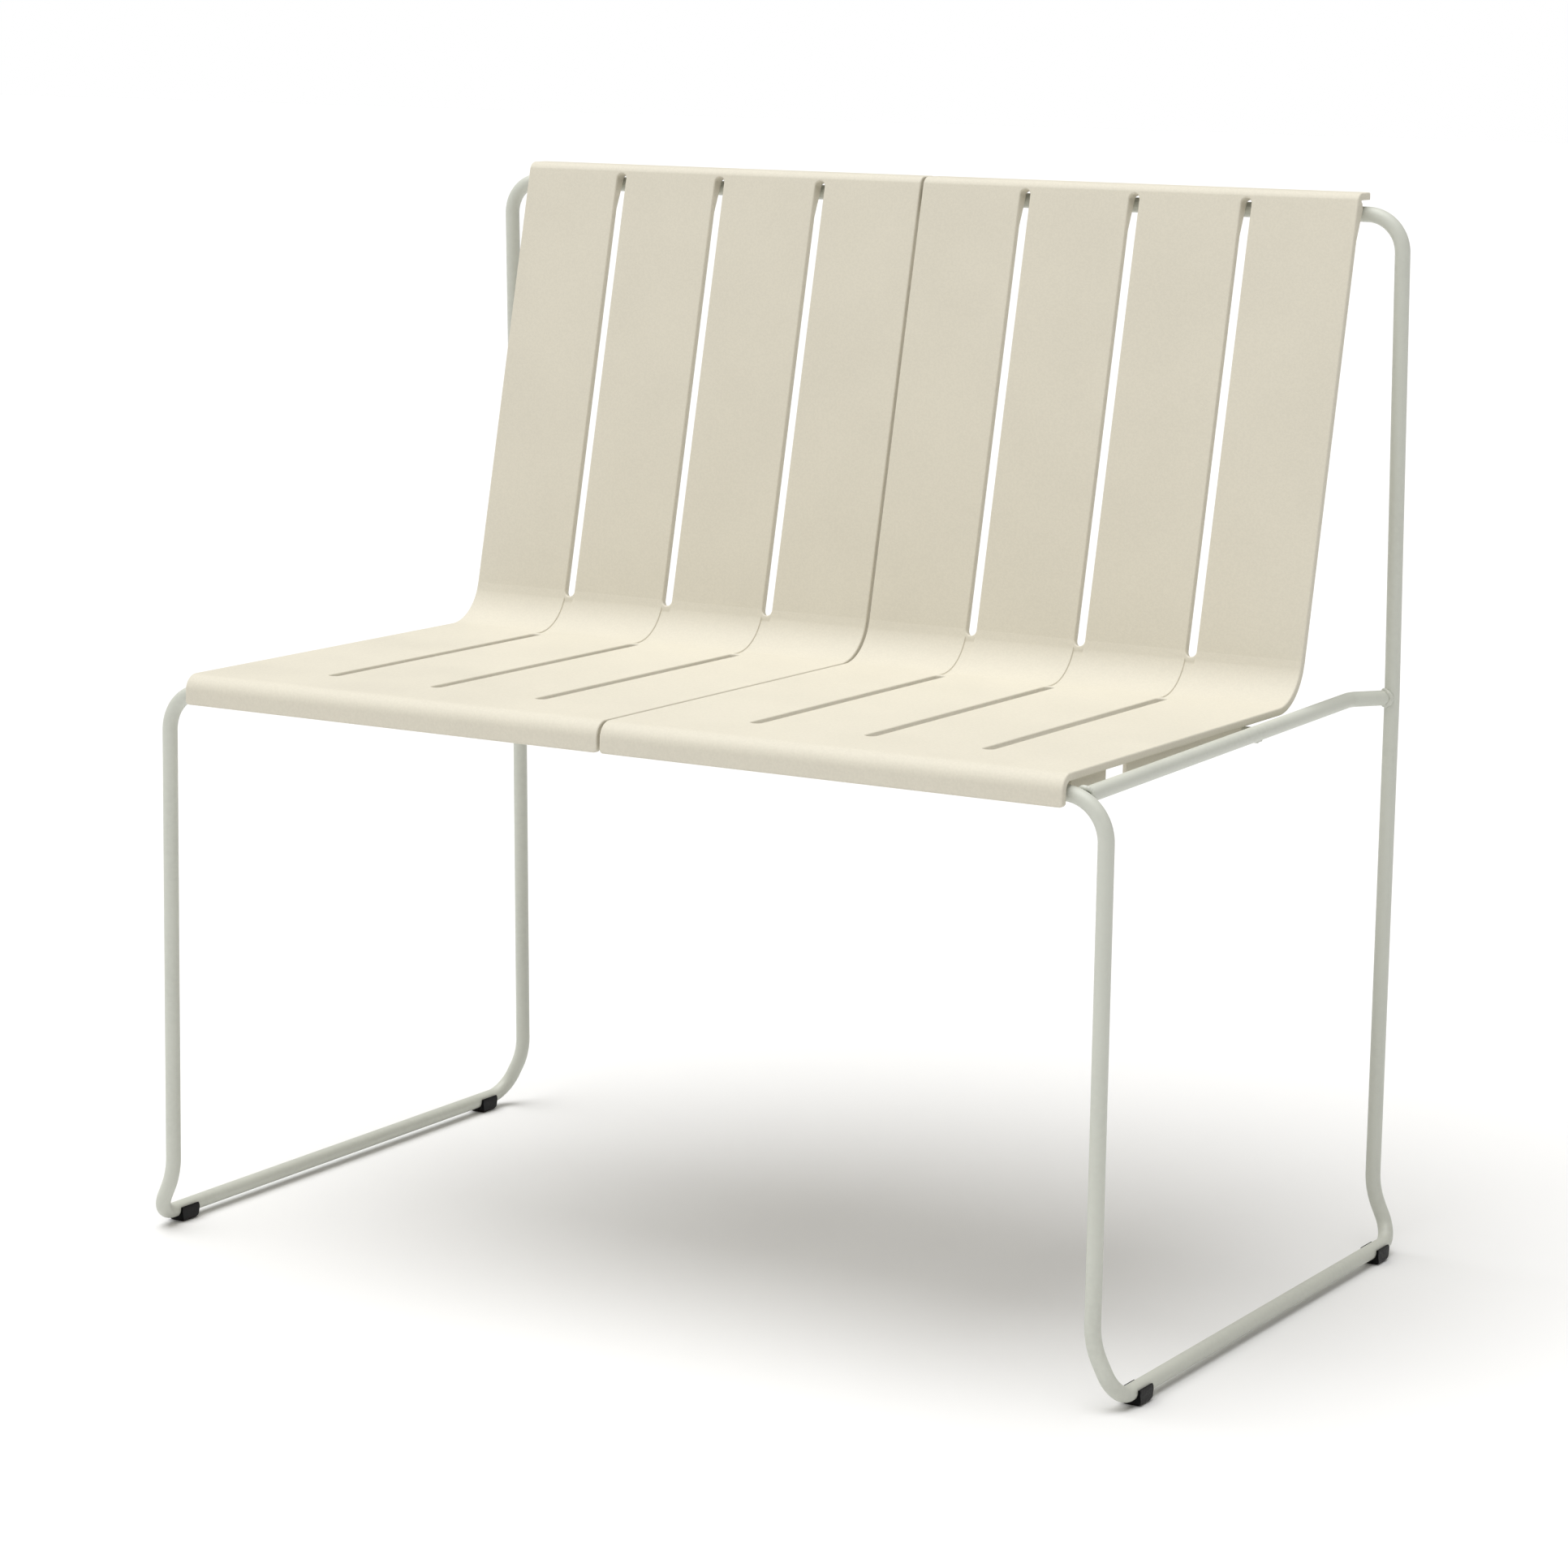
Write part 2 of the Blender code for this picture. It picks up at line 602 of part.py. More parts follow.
def screw_hole(name, place, direction):
    """A cutter for a screw's clearance through a tab and its blind hole in a shell."""
    builder = bmesh.new()
    length = CLIP_WALL + SCREW_GRIP + 3 * GAP
    turn = direction.to_track_quat("Z", "Y").to_matrix().to_4x4()
    middle = Matrix.Translation(place + direction * (length / 2 - GAP))
    bmesh.ops.create_cone(builder, cap_ends=True, segments=SCREW_SIDES, depth=length + GAP,
                          radius1=SCREW_RADIUS + GAP, radius2=SCREW_RADIUS + GAP, matrix=middle @ turn)
    return as_cutter(add_mesh(name, builder))


def make_clips(shells):
    """Three rows of clips, each with a row of screws into the shells."""
    up = Vector((0, 0, 1))
    tab_face = SEAT_HEIGHT - SHELL_THICKNESS - GAP - CLIP_WALL - GAP
    tab_middle = CLIP_REACH - 0.4 * CLIP_TAB
    clip_low, back_up, back_out = back_frame(TOP_BAR_Z - TOP_CLIP_DROP)
    back_place = clip_low - back_up * (0.5 * CLIP_TAB) + back_out * (CLIP_WALL + GAP)
    into_back = Vector((0, -back_out[0], -back_out[1]))
    rows = (
        ("front", front_clip_outline(), [(FRONT_LEG_Y + tab_middle, tab_face)], up),
        ("cross", cross_clip_outline(),
         [(CROSS_RAIL_Y - tab_middle, tab_face), (CROSS_RAIL_Y + tab_middle, tab_face)], up),
        ("top", top_clip_outline(), [tuple(back_place)], into_back),
    )
    shape = screw_shape()
    paint(shape, SCREW_FINISH)
    for row, outline, screw_places, direction in rows:
        for side, word in ((-1, "left"), (1, "right")):
            for slat in CLIP_SLATS:
                x = side * shell_x(slat - 0.5)
                clip = extrude_outline(f"{row}_clip_{word}_{slat}", outline,
                                       x - CLIP_LENGTH / 2, x + CLIP_LENGTH / 2)
                paint(clip.data, CLIP_FINISH)
                for letter, (y, z) in zip("ab", screw_places):
                    place = Vector((x, y, z))
                    make_screw(f"{row}_screw_{word}_{slat}{letter}", shape, place, direction)
                    hole = screw_hole(f"{clip.name}_hole_{letter}", place, direction)
                    cut(clip, [hole])
                    cut(shells[side], [hole])


def main():
    clear_scene()
    shells = {-1: make_shell("shell_left", -1), 1: make_shell("shell_right", 1)}
    make_frame()
    make_glides()
    make_clips(shells)


main()
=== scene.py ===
"""Garden bench: the finished look of two slatted shells hooked over a bent rod frame.

Metres, +Z up, +Y towards the back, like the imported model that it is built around. Each piece has
an operator, and main calls them in order. The sizes that a user would change are in the property
groups, the small fixed ones are the constants below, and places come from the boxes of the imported
model's nodes.
"""

import math

import bmesh
import bpy
from bpy.props import FloatProperty, FloatVectorProperty, IntProperty, PointerProperty
from mathutils import Matrix, Vector


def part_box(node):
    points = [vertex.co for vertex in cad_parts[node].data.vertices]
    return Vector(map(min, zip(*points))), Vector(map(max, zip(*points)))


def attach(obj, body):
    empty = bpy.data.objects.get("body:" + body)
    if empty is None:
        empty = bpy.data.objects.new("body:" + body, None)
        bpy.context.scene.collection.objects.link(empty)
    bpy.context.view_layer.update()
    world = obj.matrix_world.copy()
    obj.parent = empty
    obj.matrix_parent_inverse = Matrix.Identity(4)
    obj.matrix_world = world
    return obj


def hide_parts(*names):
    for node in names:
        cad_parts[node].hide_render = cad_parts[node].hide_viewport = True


bl_info = {
    "name": "Slatted garden bench",
    "version": (1, 0, 0),
    "blender": (4, 5, 0),
    "location": "3D View > Sidebar > Bench",
    "description": "Builds the shells, rods, glides, clips and screws of a garden bench",
    "category": "Add Mesh",
}

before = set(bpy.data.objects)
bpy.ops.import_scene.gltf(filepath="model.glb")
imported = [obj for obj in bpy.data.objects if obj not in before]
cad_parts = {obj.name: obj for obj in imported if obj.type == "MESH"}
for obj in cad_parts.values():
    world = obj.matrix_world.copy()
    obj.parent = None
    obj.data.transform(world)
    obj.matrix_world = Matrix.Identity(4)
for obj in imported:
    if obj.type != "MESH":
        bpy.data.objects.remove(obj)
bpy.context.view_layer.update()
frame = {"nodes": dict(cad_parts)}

SIDES = ((-1, "left"), (1, "right"))
CLIP_SLATS = (1, 4)
SHARP_ANGLE = math.radians(35)
EASE_ANGLE = math.radians(32)

# Fineness of the shell's mesh, in metres where it is a distance.
JOIN = 1e-6             # points closer than this are one
STRAIGHT_STEP = 0.030   # between rows on the flat of the seat and the back
END_STEP = 0.0004       # from a bend to the first row on the flat beside it
ROW_GAP = 0.0003        # the least distance of a row from the rows that the slots and corners need
SLOT_LEAD = 0.0040      # from a seat slot's front end forward to the row before it
CORNER_STEPS = 4
SLOT_END_STEPS = 12
FACE_EASE_STEPS = 5
REAR_EASE_STEPS = 3
GROOVE_SIDE = 0.0005    # width of a groove's sloping side
GROOVE_FADE = 0.0012    # over which a groove rises to the face at its ends
TOP_FADE = 0.9          # the thick wall thins out over this share of the top's radius

BEAD_POINTS = 120
BEAD_SIDES = 14
RIPPLE_HEIGHT = 0.05    # share of a bead's radius
BEAD_REACH = 1.06       # a bead's places, as shares of the rod's radius
BEAD_DIP = 0.42
BEAD_OUT = 0.98
CROSS_BEAD_SIZE = 0.6   # the cross rail's beads, beside the others

CLIP_OVER_ROD = 0.0031  # from the rod's surface to a top clip's rear face
GLIDE_GAP = 0.0002      # between a glide's cradle and the runner
GLIDE_ROUNDS = 8
WING_SHOULDER = 0.3     # share of a wing's height, where its side turns in
SOLE_SHOULDER = 0.25    # share of the rod's radius, where the side turns down to the sole
GLIDE_WAIST = 0.5       # share of the rod's radius, from the rod's middle down to where the ends are fullest
WING_BOW = 0.35         # how far a wing's ends bow out, beside the sole's

SCREW_SIDES = 24
DOME_ANGLES = (0, 18, 36, 52, 64)
HEAD_RIM = 0.15         # share of a head's height below its dome
THREAD_TURNS = 7
THREAD_START = 0.0006
THREAD_RISE = 0.0004    # from a turn's root up to its crest
THREAD_END = 0.0010     # plain length between the thread and the tip
TIP_LENGTH = 0.0003
CORE = 0.80             # shares of the shank's radius
TIP = 0.55


# --- settings -------------------------------------------------------------------------------

def length(name, description, default):
    return FloatProperty(name=name, description=description, default=default, min=0.0,
                         subtype="DISTANCE", unit="LENGTH", precision=4)


def tint(name, description, default):
    return FloatVectorProperty(name=name, description=description, default=default, min=0.0, max=1.0,
                               size=3, subtype="COLOR")


def share(name, description, default):
    return FloatProperty(name=name, description=description, default=default, min=0.0, max=1.0,
                         subtype="FACTOR")


def turn_angle(name, description, degrees):
    return FloatProperty(name=name, description=description, default=math.radians(degrees),
                         subtype="ANGLE", unit="ROTATION")


class BenchShellSettings(bpy.types.PropertyGroup):
    wall: length("Wall", "Thickness of the moulded wall", 0.0058)
    seat_height: length("Seat height", "Height of the flat sitting face", 0.4585)
    lean: turn_angle("Lean", "Tilt of the back from upright", 12.2)
    back_foot: length("Back foot", "Y where the back's face would meet the seat's face", 0.1335)
    lip_radius: length("Lip radius", "Roll of the front edge", 0.0125)
    bend_radius: length("Bend radius", "Roll from the seat up into the back", 0.040)
    top_radius: length("Top radius", "Roll over the top edge", 0.0080)
    slot_width: length("Slot width", "Gap between two slats", 0.0089)
    slot_pitch: length("Slot pitch", "Distance between slot centres", 0.0976)
    slot_setback: length("Slot setback", "From the lip's front to the slots' front ends", 0.0640)
    slot_seat_end: length("Slot seat end", "Y of the seat slots' rear ends", 0.0930)
    slot_foot: length("Slot foot", "Height of the back slots' lower ends", 0.4855)
    slot_top: length("Slot top", "Height of the back slots' upper ends", 0.8395)
    groove_depth: length("Groove depth", "Depth of the groove that joins two slots", 0.0010)
    rib_inset: length("Rib inset", "From a shell's outer edge to its ribs", 0.0066)
    rib_spans: FloatVectorProperty(name="Rib spans", description="Y of both ends of the two ribs", size=4,
                                   default=(-0.2350, -0.1800, -0.1480, 0.0480), unit="LENGTH")
    rib_wall: length("Rib wall", "Thickness of the ribs under the seat", 0.0030)
    rib_depth: length("Rib depth", "Depth of the ribs under the seat", 0.0115)
    slots: IntProperty(name="Slots", description="Slots in one shell", default=3, min=1, max=8)
    saddle_face: length("Saddle face", "Y of the thick wall's rear face, in front of the top bar", 0.2255)
    saddle_low: length("Saddle low", "Height where the thick wall ends", 0.8235)
    saddle_taper: length("Saddle taper", "Height over which the thick wall thins out", 0.0070)
    corner: length("Corner", "Rounding of the four outer corners", 0.0030)
    face_ease: length("Face ease", "Rounding of the edges on the sitting face", 0.0013)
    rear_ease: length("Rear ease", "Rounding of the edges on the hidden face", 0.0006)
    colour: tint("Colour", "Cream moulded plastic", (0.672, 0.636, 0.536))
    roughness: share("Roughness", "Matt moulded grain", 0.62)


class BenchFrameSettings(bpy.types.PropertyGroup):
    rod_radius: length("Rod radius", "Half of the 12 mm rod", 0.0060)
    sides: IntProperty(name="Sides", description="Faces round a rod", default=40, min=8, max=96)
    bend_steps: IntProperty(name="Bend steps", description="Points on a bend", default=20, min=4, max=64)
    leg_x: length("Leg X", "Half distance between the upright legs", 0.4130)
    corner_radius: length("Corner radius", "Bend from the crossbar into the legs", 0.0330)
    top_radius: length("Top radius", "Bend from the top bar into the uprights", 0.0290)
    knee_height: length("Knee height", "Height where a leg turns outwards", 0.0490)
    knee_radius: length("Knee radius", "Bend where a leg turns outwards", 0.0600)
    elbow_shift: length("Elbow shift", "How far a foot runs inwards along the runner", 0.0020)
    elbow_radius: length("Elbow radius", "Bend from a leg into the runner", 0.0220)
    upright_x: length("Upright X", "Half distance between the uprights at the top", 0.4160)
    joint_shift: length("Joint shift", "How far forward the upright is at the seat rail", 0.0060)
    joint_height: length("Joint height", "Height of the seat rail's rear end", 0.4510)
    joint_radius: length("Joint radius", "Gentle bend of the upright at the seat rail", 0.3000)
    rail_x: length("Rail X", "Half distance between the seat rails", 0.3930)
    rail_front_height: length("Rail front height", "Height of the seat rail's front end", 0.4417)
    rail_bend_shift: length("Rail bend shift", "From the upright forward to the rail's bend", 0.0300)
    rail_bend_radius: length("Rail bend radius", "Bend of the rail towards the upright", 0.0180)
    bead_radius: length("Bead radius", "Half the width of a weld bead", 0.0019)
    ripples: IntProperty(name="Ripples", description="Ripples round one weld bead", default=22, min=0, max=60)
    colour: tint("Colour", "Grey-white powder coat", (0.575, 0.590, 0.530))
    roughness: share("Roughness", "Satin powder coat", 0.42)


class BenchGlideSettings(bpy.types.PropertyGroup):
    end_rounding: length("End rounding", "How far the ends of a glide bow out", 0.0034)
    sole_rounding: length("Sole rounding", "Rounding of the sole's long edges", 0.0034)
    ease: length("Ease", "Rounding of the small edges", 0.0004)
    colour: tint("Colour", "Black moulded plastic", (0.0042, 0.0042, 0.0046))
    roughness: share("Roughness", "Satin moulded plastic", 0.40)


class BenchFixingSettings(bpy.types.PropertyGroup):
    clip_ease: length("Clip ease", "Rounding of a clip's edges", 0.0005)
    head_radius: length("Head radius", "Half the width of a screw head", 0.0036)
    head_height: length("Head height", "Height of a screw head", 0.0022)
    shank_radius: length("Shank radius", "Half the width of a screw's shank", 0.0017)
    shank_length: length("Shank length", "From under the head to the tip", 0.0066)
    socket_radius: length("Socket radius", "Half the width of the socket in the head", 0.0016)
    socket_depth: length("Socket depth", "Depth of the socket in the head", 0.0013)
    clip_colour: tint("Clip colour", "Cream moulded plastic of the clips", (0.56, 0.53, 0.445))
    screw_colour: tint("Screw colour", "Stainless steel", (0.62, 0.61, 0.58))


class BenchStageSettings(bpy.types.PropertyGroup):
    azimuth: turn_angle("Azimuth", "Turn of the camera to the bench's right", 30.584)
    elevation: turn_angle("Elevation", "Downward tilt of the camera", 9.540)
    roll: turn_angle("Roll", "Turn of the camera about its own axis", 0.907)
    position: FloatVectorProperty(name="Position", description="Place of the camera", size=3,
                                  default=(1.7454, -2.9362, 0.9826), subtype="TRANSLATION")
    focal: FloatProperty(name="Focal length", description="In millimetres on a 36 mm sensor", default=100.57)
    shift: FloatVectorProperty(name="Shift", description="Shift of the lens", size=2,
                               default=(-0.0030, -0.0272))
    floor_colour: tint("Floor colour", "Pale studio floor", (0.84, 0.84, 0.84))
    floor_size: length("Floor size", "Side of the floor", 60.0)


class BenchSettings(bpy.types.PropertyGroup):
    shell: PointerProperty(type=BenchShellSettings)
    frame: PointerProperty(type=BenchFrameSettings)
    glide: PointerProperty(type=BenchGlideSettings)
    fixing: PointerProperty(type=BenchFixingSettings)
    stage: PointerProperty(type=BenchStageSettings)


# --- node helpers -----------------------------------------------------------------------------

def add_node(tree, kind, inputs=None, **settings):
    """Add a node with its settings, and set or link its inputs, which go by name or number."""
    node = tree.nodes.new(kind)
    for label, value in settings.items():
        setattr(node, label, value)
    for label, value in (inputs or {}).items():
        if isinstance(value, bpy.types.NodeSocket):
            tree.links.new(value, node.inputs[label])
        else:
            node.inputs[label].default_value = value
    return node


def new_tree(name, kind, inputs, outputs):
    """An empty node group with its sockets; returns the tree and its two end nodes."""
    tree = bpy.data.node_groups.new(name, kind)
    for label, socket_kind in inputs:
        tree.interface.new_socket(label, in_out="INPUT", socket_type=socket_kind)
    for label, socket_kind in outputs:
        tree.interface.new_socket(label, in_out="OUTPUT", socket_type=socket_kind)
    return tree, add_node(tree, "NodeGroupInput"), add_node(tree, "NodeGroupOutput")


def noise(tree, vector, scale, detail, roughness=0.5):
    inputs = {"Vector": vector, "Scale": scale, "Detail": detail, "Roughness": roughness}
    return add_node(tree, "ShaderNodeTexNoise", inputs).outputs["Fac"]


def spread(tree, value, low, high, new_low, new_high):
    """Map a value from one span onto another, kept inside the new span."""
    inputs = {"Value": value, "From Min": low, "From Max": high, "To Min": new_low, "To Max": new_high}
    return add_node(tree, "ShaderNodeMapRange", inputs, clamp=True).outputs["Result"]


def calculate(tree, operation, *values):
    return add_node(tree, "ShaderNodeMath", dict(enumerate(values)), operation=operation).outputs["Value"]


def calculate_vector(tree, operation, *values):
    node = add_node(tree, "ShaderNodeVectorMath", dict(enumerate(values)), operation=operation)
    return node.outputs["Vector"]


def mix(tree, amount, colour, other):
    """Mix two colours, which a Mix node holds at its inputs 6 and 7; either may be a fixed one."""
    inputs = {0: amount, 6: colour, 7: other}
    return add_node(tree, "ShaderNodeMix", inputs, data_type="RGBA").outputs[2]


# --- finishes ---------------------------------------------------------------------------------

def shader_group(name, sizes, outputs):
    """An empty shader group that takes a place and named sizes, and gives named values."""
    inputs = [("Vector", "NodeSocketVector")] + [(label, "NodeSocketFloat") for label in sizes]
    return new_tree(name, "ShaderNodeTree", inputs, [(label, "NodeSocketFloat") for label in outputs])


def grain_group():
    """Fine moulded or sprayed grain: tiny specks, soft clouds of tone and a height for the bump."""
    tree, start, end = shader_group("Fine grain", ("Grain Scale", "Cloud Scale"),
                                    ("Height", "Speck", "Cloud"))
    places, grain_scale = start.outputs["Vector"], start.outputs["Grain Scale"]
    fine = noise(tree, places, grain_scale, 2.0, 0.55)
    coarse = noise(tree, places, calculate(tree, "MULTIPLY", grain_scale, 0.38), 1.0)
    cloud = noise(tree, places, start.outputs["Cloud Scale"], 3.0)
    height = calculate(tree, "ADD", calculate(tree, "MULTIPLY", fine, 0.65),
                       calculate(tree, "MULTIPLY", coarse, 0.35))
    tree.links.new(height, end.inputs["Height"])
    tree.links.new(spread(tree, coarse, 0.38, 0.62, 0.0, 1.0), end.inputs["Speck"])
    tree.links.new(spread(tree, cloud, 0.35, 0.65, 0.0, 1.0), end.inputs["Cloud"])
    return tree


def wear_group():
    """Outdoor wear: thin scuffs, and dust that settles low down."""
    tree, start, end = shader_group("Outdoor wear", ("Scuff Scale", "Dust Height"), ("Scuff", "Dust"))
    places = start.outputs["Vector"]
    stretched = add_node(tree, "ShaderNodeMapping", {
        "Vector": places, "Rotation": (0.3, 0.2, 0.7), "Scale": (1.0, 7.0, 1.0)}).outputs["Vector"]
    scratch = noise(tree, stretched, start.outputs["Scuff Scale"], 5.0, 0.62)
    patch = noise(tree, places, 9.0, 2.0)
    scuff = calculate(tree, "MULTIPLY", spread(tree, scratch, 0.64, 0.74, 0.0, 1.0),
                      spread(tree, patch, 0.50, 0.66, 0.0, 1.0))
    tree.links.new(scuff, end.inputs["Scuff"])
    height = add_node(tree, "ShaderNodeSeparateXYZ", {"Vector": places}).outputs["Z"]
    dust = calculate(tree, "MULTIPLY", spread(tree, height, 0.0, start.outputs["Dust Height"], 1.0, 0.0),
                     spread(tree, patch, 0.3, 0.7, 0.4, 1.0))
    tree.links.new(dust, end.inputs["Dust"])
    return tree


def start_material(name, groups, *sizes):
    """A material, its shader and the outputs of its effect groups, which read Object coordinates.

    Each entry of sizes holds one group's own sizes, in the order of the group's inputs.
    """
    material = bpy.data.materials.new(name)
    material.use_nodes = True
    tree = material.node_tree
    places = add_node(tree, "ShaderNodeTexCoord").outputs["Object"]
    effects = [add_node(tree, "ShaderNodeGroup", dict(enumerate((places, *values))), node_tree=group).outputs
               for group, values in zip(groups, sizes)]
    return (tree, tree.nodes["Principled BSDF"], *effects)


def finish_material(tree, shader, wear, base, layers, rough, relief, gloss=0.5):
    """Lay the wear over the base colour, add the bump, and feed the shader.

    layers gives a mask's strength and colour, and relief a bump's height, strength and distance.
    """
    for mask, (amount, colour) in layers.items():
        base = mix(tree, calculate(tree, "MULTIPLY", wear[mask], amount), base, (*colour, 1.0))
    inputs = dict(zip(("Height", "Strength", "Distance"), relief))
    normal = add_node(tree, "ShaderNodeBump", inputs).outputs["Normal"]
    shader.inputs["Specular IOR Level"].default_value = gloss
    for label, output in (("Base Color", base), ("Roughness", rough), ("Normal", normal)):
        tree.links.new(output, shader.inputs[label])


def tinted(colour, factor=1.0):
    return (*(min(1.0, channel * factor) for channel in colour), 1.0)


def moulded_plastic(name, groups, colour, roughness, contrast):
    """Matt moulded plastic: a fine grain, faint clouds of tone, a few scuffs and a little dust."""
    tree, shader, grain, wear = start_material(name, groups, (1500.0, 14.0), (30.0, 0.05))
    darker = tinted(colour, 1 - contrast)
    lighter = tinted(colour, 1 + 0.6 * contrast)
    specks = mix(tree, grain["Speck"], darker, lighter)
    clouds = mix(tree, grain["Cloud"], darker, tinted(colour))
    layers = {"Scuff": (0.16, lighter[:3]), "Dust": (0.20, (0.42, 0.38, 0.31))}
    rough = spread(tree, grain["Cloud"], 0.0, 1.0, roughness - 0.05, roughness + 0.06)
    finish_material(tree, shader, wear, mix(tree, 0.5, specks, clouds), layers, rough,
                    (grain["Height"], 0.35, 0.00022), gloss=0.38)


def powder_coat(name, groups, colour, roughness):
    """Sprayed and baked coat on steel: a soft orange-peel ripple and a faint speck."""
    tree, shader, grain, wear = start_material(name, groups, (620.0, 9.0), (55.0, 0.035))
    coat = mix(tree, grain["Speck"], tinted(colour, 0.955), tinted(colour))
    clouds = mix(tree, grain["Cloud"], coat, tinted(colour, 1.03))
    layers = {"Scuff": (0.14, (0.50, 0.50, 0.46)), "Dust": (0.14, (0.36, 0.33, 0.27))}
    rough = calculate(tree, "ADD",
                      spread(tree, grain["Cloud"], 0.0, 1.0, roughness - 0.05, roughness + 0.05),
                      calculate(tree, "MULTIPLY", wear["Scuff"], 0.12))
    finish_material(tree, shader, wear, clouds, layers, rough, (grain["Height"], 0.28, 0.00030))


def black_plastic(name, groups, colour, roughness):
    """Black moulded plastic with a fine grain, rubbed grey and dusty where it meets the ground."""
    tree, shader, grain, wear = start_material(name, groups, (1900.0, 90.0), (120.0, 0.004))
    base = mix(tree, grain["Cloud"], tinted(colour), tinted(colour, 1.9))
    layers = {"Scuff": (0.35, (0.030, 0.030, 0.030)), "Dust": (0.12, (0.10, 0.09, 0.08))}
    rough = spread(tree, grain["Speck"], 0.0, 1.0, roughness - 0.06, roughness + 0.10)
    finish_material(tree, shader, wear, base, layers, rough, (grain["Height"], 0.30, 0.00018), gloss=0.14)


def screw_steel(name, groups, colour):
    """Stainless steel with fine turning marks and a dull film."""
    tree, shader, grain, wear = start_material(name, groups, (3200.0, 160.0), (300.0, 0.001))
    shader.inputs["Metallic"].default_value = 1.0
    base = mix(tree, grain["Cloud"], tinted(colour, 0.80), tinted(colour))
    rough = spread(tree, grain["Speck"], 0.0, 1.0, 0.24, 0.40)
    layers = {"Scuff": (0.3, (0.75, 0.74, 0.72))}
    finish_material(tree, shader, wear, base, layers, rough, (grain["Height"], 0.20, 0.00008))


def studio_floor(name, groups, colour):
    """Pale seamless floor with a breath of unevenness."""
    tree, shader, grain = start_material(name, groups[:1], (90.0, 1.2))
    shader.inputs["Roughness"].default_value = 0.9
    shader.inputs["Specular IOR Level"].default_value = 0.1
    clouds = mix(tree, grain["Cloud"], tinted(colour, 0.995), tinted(colour))
    tree.links.new(clouds, shader.inputs["Base Color"])


def finishes():
    """All materials, made once and then found by name."""
    if "Cream shell plastic" not in bpy.data.materials:
        look = bpy.context.scene.bench
        groups = (grain_group(), wear_group())
        moulded_plastic("Cream shell plastic", groups, look.shell.colour, look.shell.roughness, 0.045)
        powder_coat("Grey-white powder coat", groups, look.frame.colour, look.frame.roughness)
        black_plastic("Black glide plastic", groups, look.glide.colour, look.glide.roughness)
        moulded_plastic("Cream clip plastic", groups, look.fixing.clip_colour, 0.55, 0.06)
        screw_steel("Stainless screw steel", groups, look.fixing.screw_colour)
        studio_floor("Studio floor", groups, look.stage.floor_colour)
    return bpy.data.materials


# --- mesh and geometry node helpers -----------------------------------------------------------

def link_object(name, data):
    item = bpy.data.objects.new(name, data)
    bpy.context.scene.collection.objects.link(item)
    return item


def mesh_from(name, builder):
    mesh = bpy.data.meshes.new(name)
    builder.to_mesh(mesh)
    builder.free()
    return mesh


def geometry_tree(name, inputs):
    """An empty Geometry Nodes tree that takes and gives geometry."""
    ends = (("Geometry", "NodeSocketGeometry"),)
    return new_tree(name, "GeometryNodeTree", (*ends, *inputs, ("Material", "NodeSocketMaterial")), ends)


def close_tree(tree, shape, start, end, smooth=True):
    """End a tree with smooth shading, Realize Instances and Set Material."""
    if smooth:
        shape = add_node(tree, "GeometryNodeSetShadeSmooth", {"Geometry": shape}).outputs[0]
    real = add_node(tree, "GeometryNodeRealizeInstances", {"Geometry": shape}).outputs[0]
    coat = {"Geometry": real, "Material": start.outputs["Material"]}
    tree.links.new(add_node(tree, "GeometryNodeSetMaterial", coat).outputs[0], end.inputs["Geometry"])
    return tree


def run_tree(item, tree, values):
    """Put a tree on an object, set its inputs, and return the result as a plain mesh object."""
    modifier = item.modifiers.new(tree.name, "NODES")
    modifier.node_group = tree
    for socket in tree.interface.items_tree:
        if socket.in_out == "INPUT" and socket.name in values:
            modifier[socket.identifier] = values[socket.name]
    return flattened(item)


def flattened(item):
    """Replace an object's mesh with what its modifiers make of it."""
    bpy.context.view_layer.update()
    graph = bpy.context.evaluated_depsgraph_get()
    mesh = bpy.data.meshes.new_from_object(item.evaluated_get(graph), preserve_all_data_layers=True,
                                           depsgraph=graph)
    item.modifiers.clear()
    old = item.data
    item.data = mesh
    mesh.name = item.name
    if old.users == 0:
        bpy.data.meshes.remove(old)
    return item


def weighted_normals(item):
    """Make broad flat faces rule the shading next to small rounded edges."""
    modifier = item.modifiers.new("Weighted normals", "WEIGHTED_NORMAL")
    modifier.keep_sharp = True
    modifier.weight = 60
    return flattened(item)


def place_piece(item, nodes):
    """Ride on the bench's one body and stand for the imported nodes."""
    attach(item, "root")
    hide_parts(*nodes)


# --- shells -----------------------------------------------------------------------------------

def arc_points(centre, radius, start, end, step):
    count = max(2, math.ceil(abs(end - start) / step))
    angles = [start + (end - start) * index / count for index in range(count + 1)]
    return [(centre[0] + radius * math.cos(a), centre[1] + radius * math.sin(a)) for a in angles]


def straight_points(start, end):
    """Inner points of a straight stretch, with one close to each end."""
    span = math.dist(start, end)
    near = min(END_STEP, span / 4)
    count = max(1, round(span / STRAIGHT_STEP))
    places = [near] + [span * index / count for index in range(1, count)] + [span - near]
    return [tuple(a + (b - a) * place / span for a, b in zip(start, end)) for place in places]


